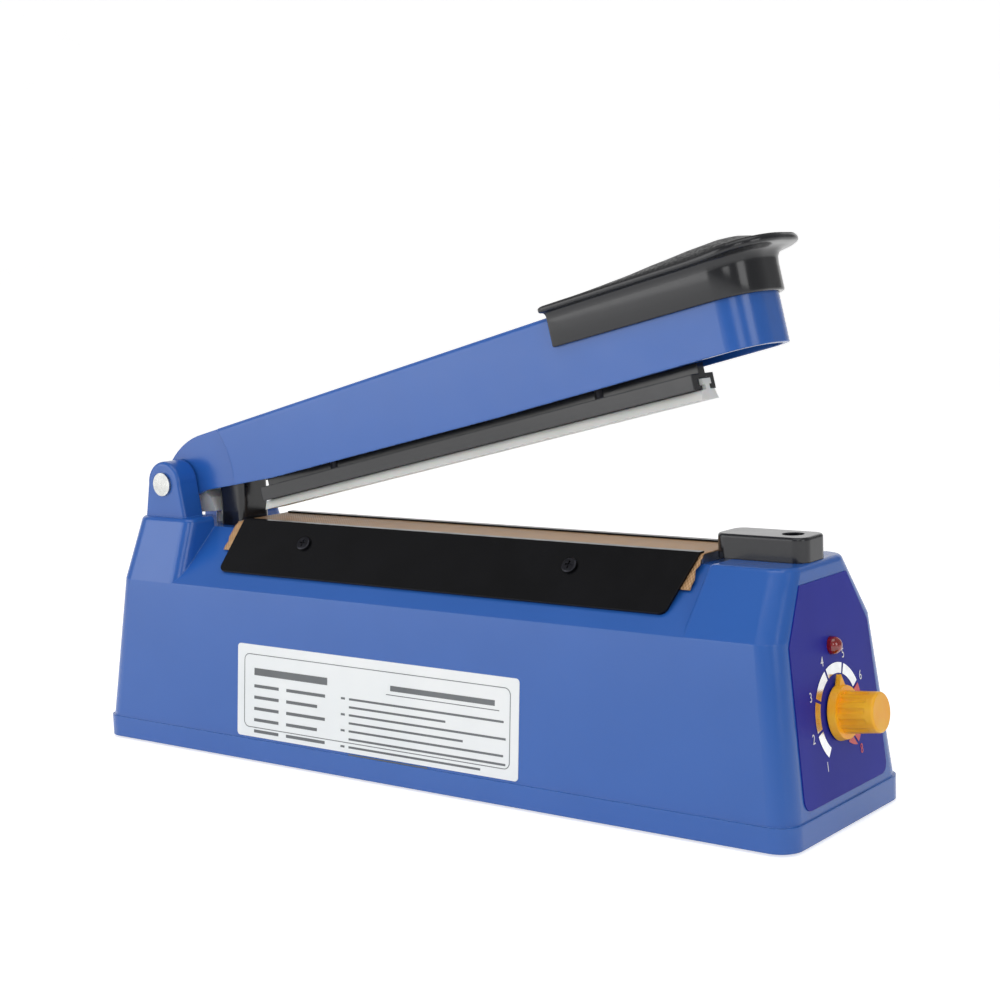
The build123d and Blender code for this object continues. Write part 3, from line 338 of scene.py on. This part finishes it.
def polyesterTape(name):
    # yellow polyester tape wound on the bobbin: overlapping turns with glossy edges
    material, tree, shader, place = startMaterial(name, 0.28, IOR=1.6)
    laps = addNode(tree, "ShaderNodeTexWave",
                   {"bands_direction": "Z", "wave_profile": "SAW", "Scale": 1 / (8.0 * mm) / 6.28,
                    "Distortion": 0.4}, {"Vector": place})
    tint(tree, shader, laps.outputs["Fac"], "#B98F1C", "#E3BE3C", 0.0, 1.0)
    relief(tree, shader, laps.outputs["Fac"], 0.08, 0.4)
    return material


def circuitBoard(name):
    # green solder mask over copper tracks: raised tracks show as paler lines
    material, tree, shader, place = startMaterial(name, 0.3, IOR=1.55)
    scaled = addNode(tree, "ShaderNodeMapping", {"Scale": (1 / (5 * mm),) * 3}, {"Vector": place})
    cells = addNode(tree, "ShaderNodeTexVoronoi",
                    {"feature": "F1", "distance": "CHEBYCHEV", "Scale": 1.0,
                     "Randomness": 0.7}, {"Vector": scaled})
    tracks = addNode(tree, "ShaderNodeMath", {"operation": "PINGPONG", 1: 0.12},
                     {0: cells.outputs["Distance"]})
    tint(tree, shader, tracks, "#0E4A24", "#2C7A42", 0.02, 0.1)
    relief(tree, shader, tracks, 0.1)
    return material


skins = {
    # the third colour of each moulded ABS is its painted edge highlight
    "abs_blue": mouldedAbs("moulded blue ABS", "#245CAE", "#275FB2", "#5E92DE", 0.22),
    "black_plastic": mouldedAbs("moulded black ABS", "#141519", "#18191E", "#45474D", 0.16, 0.6),
    "black_steel": enamelledSteel("black enamelled steel"),
    "black_screw": platedMetal("black oxide screw", "#26262A", "#3A3A3F", 0.34),
    "zinc": platedMetal("zinc plated steel", "#A7A8A6", "#C4C5C2", 0.3),
    "spring_steel": platedMetal("drawn spring wire", "#7E7F82", "#A3A4A7", 0.28, size=0.3),
    "aluminium": platedMetal("extruded aluminium", "#B4B6BA", "#CDCFD2", 0.34, (0.05, 1, 1), 0.6),
    "nichrome": platedMetal("bright nichrome strip", "#8C8983", "#AAA69F", 0.3, (0.05, 1, 1), 0.5),
    "brass": platedMetal("machined brass", "#B08D45", "#D2B065", 0.28),
    "silicone": silicone("white silicone rubber"),
    "white_nylon": nylon("natural nylon"),
    # drawn coarser than its real 0.4 mm threads so that it shows
    "ptfe_cloth": wovenCloth("coated glass cloth", "#9C7348", "#DAB083", 0.62, 0.09, 0.42),
    "glass_tape": wovenCloth("woven glass tape", "#B9B6A6", "#E4E2D6", 0.5, 0.06, 0.6, 1.5),
    "rubber": softRubber("black rubber"),
    "orange_plastic": knobPlastic("amber ABS"),
    "red_lens": redLens("red epoxy lens"),
    "dial_print": printedFilm("violet blue printed film", "#1E2490", "#242B9B", 0.5, coat=0.0, sheen=0.25),
    "label_print": printedFilm("white label film", "#EDF1F2", "#F6F8F8", 0.36),
    "core_steel": laminatedSteel("varnished laminations"),
    "coil_tape": polyesterTape("yellow polyester tape"),
    "board": circuitBoard("green solder mask"),
    "relay_case": mouldedAbs("blue relay case", "#1D4E9C", "#235AB0", "#5F8FD6", 0.3, 0.4),
    "capacitor_sleeve": mouldedAbs("black shrink sleeve", "#14151C", "#1E2030", "#34364A", 0.28, 0.3),
}
grain = grainedAbs("grained black ABS")
silver = foil("silver foil")
whiteInk = printedFilm("white screen ink", "#E9EBEF", "#F4F5F8", 0.4)
redInk = printedFilm("red screen ink", "#C81E22", "#DB2A2C", 0.35)
greyInk = printedFilm("grey printing ink", "#55595C", "#6A6E71", 0.5)

slots = {part["node"]: part["material_slot"] for part in frame["record"]["subparts"]}


def dress(piece, *materials):
    piece.data.materials.clear()
    for material in materials:
        piece.data.materials.append(material)


for name, piece in nodes.items():
    dress(piece, skins[slots[name]])
    piece.data.shade_smooth()
    piece.data.set_sharp_from_angle(angle=math.radians(32))
print("materials given to every node")


# Pieces
# a new mesh piece, dressed, riding on its body
def makePiece(name, points, faces, body, slot, *materials, faceMaterials=None, sharp=35):
    mesh = bpy.data.meshes.new(name)
    mesh.from_pydata([tuple(p) for p in points], [], faces)
    mesh.validate()
    shape = bmesh.new()
    shape.from_mesh(mesh)
    if all(edge.is_manifold for edge in shape.edges):   # a closed piece has all its faces turned outward
        bmesh.ops.recalc_face_normals(shape, faces=shape.faces)
        shape.to_mesh(mesh)
    shape.free()
    piece = bpy.data.objects.new(name, mesh)
    scene.collection.objects.link(piece)
    dress(piece, *materials)
    if faceMaterials:
        mesh.polygons.foreach_set("material_index", faceMaterials)
    mesh.shade_smooth()
    mesh.set_sharp_from_angle(angle=math.radians(sharp))
    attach(piece, body)
    return piece


# the grip's outline seen from above: a round nose in front, small corners at the rear
def outlineAbove(rear, front, half, noseRadius, rearRadius):
    corners = ((front - noseRadius, -1, noseRadius, -90, 12, 5),
               (front - noseRadius, 1, noseRadius, 0, 12, 20),
               (rear + rearRadius, 1, rearRadius, 90, 4, 5),
               (rear + rearRadius, -1, rearRadius, 180, 4, 20))
    points, splits = [], []                      # every outline has as many points, whatever its size
    for x, side, radius, start, steps, straight in corners:
        for i in range(steps + 1):
            angle = math.radians(start + 90 * i / steps)
            points.append((x + radius * math.cos(angle), side * (half - radius) + radius * math.sin(angle)))
            splits.append(straight if i == steps else 1)
    sides = []
    for i, point in enumerate(points):
        after, parts = points[(i + 1) % len(points)], splits[i]
        sides += [(point[0] + (after[0] - point[0]) * k / parts,
                   point[1] + (after[1] - point[1]) * k / parts) for k in range(parts)]
    return sides


def bridge(rings):                              # faces between rings with as many points each
    count = len(rings[0])
    faces = []
    for r in range(len(rings) - 1):
        for i in range(count):
            j = (i + 1) % count
            faces.append((r * count + i, r * count + j, (r + 1) * count + j, (r + 1) * count + i))
    return faces


def smoothStep(low, high, value):
    t = min(1.0, max(0.0, (value - low) / (high - low)))
    return t * t * (3 - 2 * t)


def along(table, x):                            # a smooth height read from a table of places and heights
    for (x0, z0), (x1, z1) in zip(table, table[1:]):
        if x <= x1:
            t = max(0.0, (x - x0) / (x1 - x0))
            return z0 + (z1 - z0) * (t * t * (3 - 2 * t) * 0.5 + t * 0.5)
    return table[-1][1]


# the arm's roof, shut, from the hinge
armTop = {"rear": 16.5, "rearHeight": 16.4, "run": 261.5, "rise": 6.8}
grip = {
    "skirt": (200.4, 280.0, 17.5, 14.0, 1.2), "lip": (198.2, 288.6, 19.8, 16.5, 3.0), "bottom": 10.2,
    "shoulder": 19.6, "undercut": 0.7, "roundness": 2.6,
    "lipLine": {"rear": 198, "run": 90, "height": 23.4, "rise": 0.9, "sweep": 1.0, "from": 262, "to": 288},
    "rim": {"height": 1.3, "more": 0.7, "from": 255, "to": 285},
    "pocket": (150.0, 278.2, 15.62, 12.1, 0.5), "pocketFoot": -5.0, "play": 0.15,
    "crown": ((198.0, 25.6), (214.0, 26.3), (230.0, 27.6), (246.0, 29.2), (258.0, 30.2), (268.0, 30.6),
              (273.0, 30.2), (277.5, 29.1), (283.0, 28.5), (289.0, 27.7)),
}


def armRoof(x):
    return armTop["rearHeight"] + armTop["rise"] * (x - armTop["rear"]) / armTop["run"]


def buildGrip():
    def plan(share, inset=0.0):
        mixed = [a + (b - a) * share for a, b in zip(grip["skirt"], grip["lip"])]
        rear, front, half, nose, corner = mixed
        return outlineAbove(rear + inset, front - inset, half - inset, max(nose - inset * 0.9, 0.05),
                            max(corner - inset * 0.5, 0.05))

    lipLine, rim = grip["lipLine"], grip["rim"]

    def lipZ(x):
        level = lipLine["height"] + lipLine["rise"] * (x - lipLine["rear"]) / lipLine["run"]
        return level + lipLine["sweep"] * smoothStep(lipLine["from"], lipLine["to"], x)

    def lipTop(x):
        return lipZ(x) + rim["height"] + rim["more"] * smoothStep(rim["from"], rim["to"], x)

    low, shoulder = grip["bottom"], grip["shoulder"]
    rings = []
    for share, inset, height in ((0, 0.55, 0.0), (0, 0.16, 0.16), (0, 0, 0.55)):
        rings.append([(x, y, low + height) for x, y in plan(share, inset)])
    for share, rise in ((0, 0.0), (0.03, 0.45), (0.12, 0.72), (0.3, 0.9), (0.6, 0.97)):
        ring = plan(share)
        rings.append([(x, y, shoulder + (lipZ(x) - grip["undercut"] - shoulder) * rise) for x, y in ring])
    for share, up in ((0.86, -0.62), (0.96, -0.35), (1.0, 0.05), (1.0, 0.5), (0.95, 0.95)):
        ring = plan(share)
        rings.append([(x, y, lipZ(x) + up + (lipTop(x) - lipZ(x) - rim["height"]) * max(0.0, up))
                      for x, y in ring])
    insets = (0.9, 1.8, 3.0, 4.6, 6.6, 9.0, 11.6, 14.4, 17.0, 19.0)
    half = grip["lip"][2]
    for inset in insets:
        ring = plan(1.0, inset)
        level = 1 - (1 - inset / half) ** grip["roundness"]
        rings.append([(x, y, lipTop(x) + (along(grip["crown"], x) - lipTop(x)) * level) for x, y in ring])
    count = len(rings[0])
    faces = bridge(rings)
    faces.append(tuple(reversed(range(count))))
    last, ridge = (len(rings) - 1) * count, rings[-1]
    facing = [min(range(count), key=lambda k: abs(ridge[k][0] - x) + abs(ridge[k][1] + y))
              for x, y, z in ridge]

    # the points between two facing ones that lie on one straight end
    def endRun(start, stop):
        between = [k % count for k in range(start + 1, start + (stop - start) % count)]
        return between if all(abs(ridge[k][0] - ridge[start][0]) < 1e-6 for k in between) else []

    for i in range(count):                       # close the crown with faces that run straight across it
        j = (i + 1) % count
        if ridge[i][1] < 0 and ridge[j][1] < 0 and abs(ridge[i][0] - ridge[j][0]) > 1e-6:
            face = [i, j] + endRun(j, facing[j]) + [facing[j], facing[i]] + endRun(facing[i], i)
            faces.append(tuple(last + k for k in face))
    points = [onArm(*p) for ring in rings for p in ring]
    topFrom = (len(rings) - len(insets) - 1) * count
    marks = [1 if min(face) >= topFrom else 0 for face in faces]
    cap = makePiece("grip", points, faces, "arm", "black_plastic", skins["black_plastic"], grain,
                    faceMaterials=marks, sharp=50)
    below = outlineAbove(*grip["pocket"])
    rings = [[(x, y, grip["pocketFoot"]) for x, y in below],
             [(x, y, armRoof(x) + grip["play"]) for x, y in below]]
    count = len(below)
    mesh = bpy.data.meshes.new("pocket")
    mesh.from_pydata([tuple(onArm(*p)) for ring in rings for p in ring], [],
                     bridge(rings) + [tuple(reversed(range(count))), tuple(range(count, 2 * count))])
    cutter = bpy.data.objects.new("pocket", mesh)
    scene.collection.objects.link(cutter)
    cut = cap.modifiers.new("pocket", "BOOLEAN")
    cut.operation, cut.solver, cut.object = "DIFFERENCE", "EXACT", cutter
    bpy.context.view_layer.update()
    made = bpy.data.meshes.new_from_object(cap.evaluated_get(bpy.context.evaluated_depsgraph_get()))
    cap.modifiers.clear()
    cap.data = made
    bpy.data.objects.remove(cutter)
    made.shade_smooth()
    made.set_sharp_from_angle(angle=math.radians(50))
    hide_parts("hand_grip")


buildGrip()
print("grip built")


# a closed-end coil spring
def buildSpring(name, foot, axis, radius, wire, height, turns, body, joint, keep, anchor, *replaced):
    axis = Vector(axis).normalized()
    side = axis.cross(Vector((0, 1, 0))).normalized()
    other = axis.cross(side)
    dead = 1.0                       # one closed turn at each end
    steps, around = 26 * int(turns + 2 * dead), 10
    rings = []
    total = turns + 2 * dead
    for i in range(steps + 1):
        turn = total * i / steps
        climb = min(max(turn - dead, 0.0), turns) / turns
        rise = (wire / 2 + wire * min(turn, dead) + (height - wire - 2 * wire * dead) * climb
                + wire * max(0.0, turn - dead - turns))
        angle = 2 * math.pi * turn
        outward = side * math.cos(angle) + other * math.sin(angle)
        centre = foot + (outward * radius + axis * rise) * mm
        ring = []
        for k in range(around):
            aboutWire = 2 * math.pi * k / around
            ring.append(centre + (outward * math.cos(aboutWire) + axis * math.sin(aboutWire)) * wire / 2 * mm)
        rings.append(ring)
    faces = bridge(rings) + [tuple(reversed(range(around))),
                             tuple(range(steps * around, (steps + 1) * around))]
    spring = makePiece(name, [p for ring in rings for p in ring], faces, body, "spring_steel",
                       skins["spring_steel"], sharp=60)
    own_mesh(spring)
    if replaced:
        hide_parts(*replaced)


springs = {"radius": 5.8, "wire": 0.9, "turns": 6, "places": (75.0, 205.0), "foot": -5.2, "lift": 6.1,
           "roofGap": 2.7}
returnCoil = {"radius": 4.4, "wire": 1.0, "turns": 11, "keep": 0.92}
armAxis = (-openSin, 0, openCos)
for i, x in enumerate(springs["places"]):
    topZ = armRoof(x) - springs["roofGap"]
    height = topZ - springs["foot"]
    buildSpring("pressureSpring" + "AB"[i], onArm(x, 0, springs["foot"]), armAxis, springs["radius"],
                springs["wire"], height, springs["turns"], "arm", "bar_float",
                (height - springs["lift"]) / height, onArm(x, 0, topZ),
                *(["pressure_springs"] if i == 0 else []))
low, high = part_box("return_spring")
middle = (low + high) / 2
foot = Vector((middle.x, middle.y, low.z))
buildSpring("returnSpring", foot, (0, 0, 1), returnCoil["radius"], returnCoil["wire"],
            (high.z - low.z) / mm, returnCoil["turns"], "base", "arm_hinge", returnCoil["keep"], foot,
            "return_spring")
print("springs built")

# Cloth over the element: down both sides of the platform and under the clamp plates
cloth = {"thick": 0.2, "slope": 48.4, "flap": 14.0, "flapRear": 0.0, "flapFront": -3.0, "step": 1.3,
         "fray": 1.4, "places": (14, 12, 10, 8, 6, 4, 2.2, 1.0, 0.4), "hang": 0.12, "fold": 0.35,
         "bevel": 0.1, "edge": 0.7, "ripple": 0.05, "tuck": 1.2, "tuckRun": 3.0}


def buildCloth():
    low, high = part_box("cloth")
    platformLow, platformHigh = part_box("platform")
    half = (platformHigh.y - platformLow.y) / 2 / mm
    rear, front = low.x / mm, high.x / mm
    top = high.z / mm
    slope = math.radians(cloth["slope"])
    edge, bevel = cloth["edge"], cloth["bevel"]
    side = [(-half - cloth["hang"] - s * math.cos(slope), top - cloth["fold"] - s * math.sin(slope), s)
            for s in cloth["places"]]
    side += [(-half + bevel, top - bevel, 0), (-half + edge, top, 0)]
    steps = 16
    middle = [(-half + edge + (2 * half - 2 * edge) * i / steps, top, 0) for i in range(1, steps)]
    across = side + middle + [(-y, z, s) for y, z, s in reversed(side)]
    columns = int((front - rear) / cloth["step"])
    points, keepers = [], {}
    for i in range(columns + 1):
        share = i / columns
        for k, (y, z, s) in enumerate(across):
            x = rear + (front - rear) * share
            ripple = cloth["ripple"] * noise.noise(Vector((x / 9, y / 9, 0)))
            if i == 0 or i == columns:
                x += cloth["fray"] * noise.noise(Vector((y * 0.9, 7.0 * i, 3))) * (1 if s else 0.4)
            end = smoothStep(rear + cloth["tuckRun"], rear, x)
            points.append(Vector((x, y, z + ripple - cloth["tuck"] * end * (1 if not s else 0))) * mm)
            keepers[(i, k)] = len(points) - 1
    faces = []
    for i in range(columns):
        x = rear + (front - rear) * (i + 0.5) / columns
        for k in range(len(across) - 1):
            s = max(across[k][2], across[k + 1][2])
            if s and not rear + cloth["flapRear"] < x < front - cloth["flapFront"]:
                continue
            faces.append((keepers[(i, k)], keepers[(i + 1, k)], keepers[(i + 1, k + 1)],
                          keepers[(i, k + 1)]))
    sheet = makePiece("clothSheet", points, faces, "base", "ptfe_cloth", skins["ptfe_cloth"], sharp=80)
    solid = sheet.modifiers.new("thickness", "SOLIDIFY")
    solid.thickness, solid.offset = cloth["thick"] * mm, -1
    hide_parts("cloth")


buildCloth()
print("cloth laid")

# Print on the dial
dial = {"inner": 12.9, "outer": 16.4, "gap": 2.0, "lift": 0.46, "thick": 0.05, "numberRadius": 19.6,
        "numberSize": 4.6, "angles": (-143, -105, -65, -23, 21, 63, 103, 140)}


# one thin printed segment of the dial's ring
def arcStrip(start, end, inner, outer, taper=0.0):
    steps = max(4, int(abs(end - start) / 3))
    points = []
    for level in (dial["lift"], dial["lift"] + dial["thick"]):
        for i in range(steps + 1):
            t = i / steps
            angle = math.radians(start + (end - start) * t)
            narrow = taper * t * (outer - inner)
            for radius in (inner, outer - narrow):
                points.append(onDial(radius * math.sin(angle), radius * math.cos(angle), level))
    count = 2 * (steps + 1)
    faces = []
    for i in range(steps):
        a = 2 * i
        faces.append((count + a, count + a + 1, count + a + 3, count + a + 2))
        faces.append((a + 2, a + 3, a + 1, a))
        faces.append((a, count + a, count + a + 2, a + 2))
        faces.append((a + 1, a + 3, count + a + 3, count + a + 1))
    faces.append((0, 1, count + 1, count))
    last = 2 * steps
    faces.append((last + 1, last, count + last, count + last + 1))
    return points, faces


def joined(parts):
    points, faces = [], []
    for some, more in parts:
        offset = len(points)
        points += some
        faces += [tuple(i + offset for i in face) for face in more]
    return points, faces


# one printed number, flat on the dial
def digitMesh(text, angle):
    curve = bpy.data.curves.new("digit", "FONT")
    curve.body, curve.size = text, dial["numberSize"]
    curve.align_x, curve.align_y = "CENTER", "CENTER"
    curve.extrude, curve.resolution_u = dial["thick"] / 2, 4
    held = bpy.data.objects.new("digit", curve)
    scene.collection.objects.link(held)
    bpy.context.view_layer.update()
    mesh = bpy.data.meshes.new_from_object(held.evaluated_get(bpy.context.evaluated_depsgraph_get()))
    turn = math.radians(angle)
    radius = dial["numberRadius"]
    centre = (radius * math.sin(turn), radius * math.cos(turn))
    points = [onDial(centre[0] + v.co.x * 0.8, centre[1] + v.co.y, dial["lift"] + v.co.z)
              for v in mesh.vertices]
    faces = [tuple(p.vertices) for p in mesh.polygons]
    bpy.data.objects.remove(held)
    bpy.data.meshes.remove(mesh)
    return points, faces


def buildDial():
    angles, gap = dial["angles"], dial["gap"]
    spans = [(a + gap, b - gap) for a, b in zip(angles, angles[1:])]
    points, faces = joined([arcStrip(a, b, dial["inner"], dial["outer"]) for a, b in spans[:5]])
    makePiece("dialSegments", points, faces, "base", "dial_print", silver, sharp=30)
    red = [arcStrip(a, b, dial["inner"], dial["outer"]) for a, b in spans[5:]]
    red.append(arcStrip(angles[-1] + gap, angles[-1] + 18, dial["inner"] - 1.6, dial["outer"], 0.9))
    makePiece("dialSegmentsRed", *joined(red), "base", "dial_print", redInk, sharp=30)
    makePiece("dialNumbers", *joined([digitMesh(str(i + 1), angles[i]) for i in range(6)]), "base",
              "dial_print", whiteInk, sharp=30)
    makePiece("dialNumbersRed", *joined([digitMesh(str(i + 1), angles[i]) for i in (6, 7)]), "base",
              "dial_print", redInk, sharp=30)


buildDial()
print("dial printed")

# Ruled print on the label
label = {
    "film": 0.2, "margin": 3.6, "line": 0.3, "corner": 2.6, "lift": 0.02, "thick": 0.03, "headroom": 5.0,
    "headings": ((9, -3.2, 47, -0.4), (78, -2.0, 126, 0.0), (76, -3.6, 128, -3.3)),
    "left": {"rows": 5, "drop": 8.0, "row": 4.4, "tall": 1.2, "marks": (9, 22), "words": (26, 46),
             "shorter": 4},
    "right": {"drop": 7.6, "row": 3.0, "tall": 0.8, "marks": (54, 56), "words": 58,
              "ends": (130, 104, 131, 112, 130, 131, 120, 96)},
}


def buildLabel():
    low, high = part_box("instruction_label")
    length = (high.x - low.x) / mm
    rise = (high.z - low.z) / mm
    # the label leans with the wall: its foot stands furthest out
    outFoot, outHead = low.y, high.y - label["film"] * mm
    slopeRun = (outHead - outFoot) / mm
    tall = math.hypot(rise, slopeRun)
    up = Vector((0, slopeRun, rise)) / tall
    out = Vector((0, -rise, slopeRun)) / tall
    corner = Vector((low.x, outFoot, low.z))

    def onLabel(x, z, lift):
        return corner + (Vector((x, 0, 0)) + up * z + out * lift) * mm

    def bar(x0, z0, x1, z1):
        points = [onLabel(x, z, lift) for lift in (label["lift"], label["lift"] + label["thick"])
                  for x, z in ((x0, z0), (x1, z0), (x1, z1), (x0, z1))]
        return points, [(3, 2, 1, 0), (4, 5, 6, 7), (0, 1, 5, 4), (1, 2, 6, 5), (2, 3, 7, 6), (3, 0, 4, 7)]

    margin, bend, line = label["margin"], label["corner"], label["line"]
    rings = []
    for inset in (0.0, line):
        for lift in (label["lift"], label["lift"] + label["thick"]):
            m = margin + inset
            flat = outlineAbove(m, length - m, (tall - 2 * m) / 2, bend - inset, bend - inset)
            rings.append([onLabel(x, y + tall / 2, lift) for x, y in flat])
    count = len(rings[0])
    order = [rings[0], rings[1], rings[3], rings[2], rings[0]]
    points = [p for ring in order[:4] for p in ring]
    faces = []
    for r in range(4):
        for i in range(count):
            j = (i + 1) % count
            a, b = r * count, ((r + 1) % 4) * count
            faces.append((a + i, a + j, b + j, b + i))
    parts = [(points, faces)]
    top = tall - margin - label["headroom"]
    for x0, z0, x1, z1 in label["headings"]:
        parts.append(bar(x0, top + z0, x1, top + z1))
    left, right = label["left"], label["right"]
    for r in range(left["rows"]):
        z = top - left["drop"] - r * left["row"]
        start, stop = left["words"]
        parts.append(bar(left["marks"][0], z, left["marks"][1], z + left["tall"]))
        parts.append(bar(start, z, stop - (r % 2) * left["shorter"], z + left["tall"]))
    for r, end in enumerate(right["ends"]):
        z = top - right["drop"] - r * right["row"]
        if r % 2 == 0:
            parts.append(bar(right["marks"][0], z, right["marks"][1], z + right["tall"]))
        parts.append(bar(right["words"], z, end, z + right["tall"]))
    makePiece("labelPrint", *joined(parts), "base", "label_print", greyInk, sharp=30)


buildLabel()
print("label printed")


# Floor and backdrop in one sweep
def buildSweep():
    depth, width, bend, rise = 4.0, 9.0, 1.2, 3.0
    profile = [(-depth, 0.0), (depth - bend, 0.0)]
    for i in range(1, 13):
        angle = math.radians(90 * i / 12)
        profile.append((depth - bend + bend * math.sin(angle), bend - bend * math.cos(angle)))
    profile.append((depth, rise))
    points = [(x, y, z - 0.00005) for x in (-width / 2, width / 2) for y, z in profile]
    count = len(profile)
    faces = [(i, count + i, count + i + 1, i + 1) for i in range(count - 1)]
    mesh = bpy.data.meshes.new("sweep")
    mesh.from_pydata(points, [], faces)
    mesh.shade_smooth()
    sweep = bpy.data.objects.new("sweep", mesh)
    scene.collection.objects.link(sweep)
    az = math.radians(view["azimuth"])
    sweep.rotation_euler = (0, 0, az)
    material, tree, shader, place = startMaterial("matt white paper", 0.9)
    tint(tree, shader, vary(tree, place, 60, 3), "#EFEFEF", studio["floor"])
    path = addNode(tree, "ShaderNodeLightPath")
    seen = addNode(tree, "ShaderNodeMath", {"operation": "MAXIMUM"},
                   {0: path.outputs["Is Camera Ray"], 1: path.outputs["Is Glossy Ray"]})
    seen = addNode(tree, "ShaderNodeMath", {"operation": "MAXIMUM"},
                   {0: seen, 1: path.outputs["Is Transmission Ray"]})
    glow = addNode(tree, "ShaderNodeMath", {"operation": "MULTIPLY", 1: studio["floorGlow"]}, {0: seen})
    shader.inputs["Emission Color"].default_value = (1, 1, 1, 1)
    tree.links.new(glow.outputs[0], shader.inputs["Emission Strength"])
    sweep.data.materials.append(material)


def setWorld():
    world = bpy.data.worlds.new("studio")
    world.use_nodes = True
    tree = world.node_tree
    path = addNode(tree, "ShaderNodeLightPath")
    seen = addNode(tree, "ShaderNodeMath", {"operation": "MAXIMUM"},
                   {0: path.outputs["Is Camera Ray"], 1: path.outputs["Is Transmission Ray"]})
    strength = addNode(tree, "ShaderNodeMapRange", {"To Min": studio["ambient"], "To Max": 1.0},
                       {"Value": seen})
    back = tree.nodes["Background"]
    back.inputs["Color"].default_value = (1, 1, 1, 1)
    tree.links.new(strength.outputs["Result"], back.inputs["Strength"])
    scene.world = world


buildSweep()
setWorld()
print("studio built")
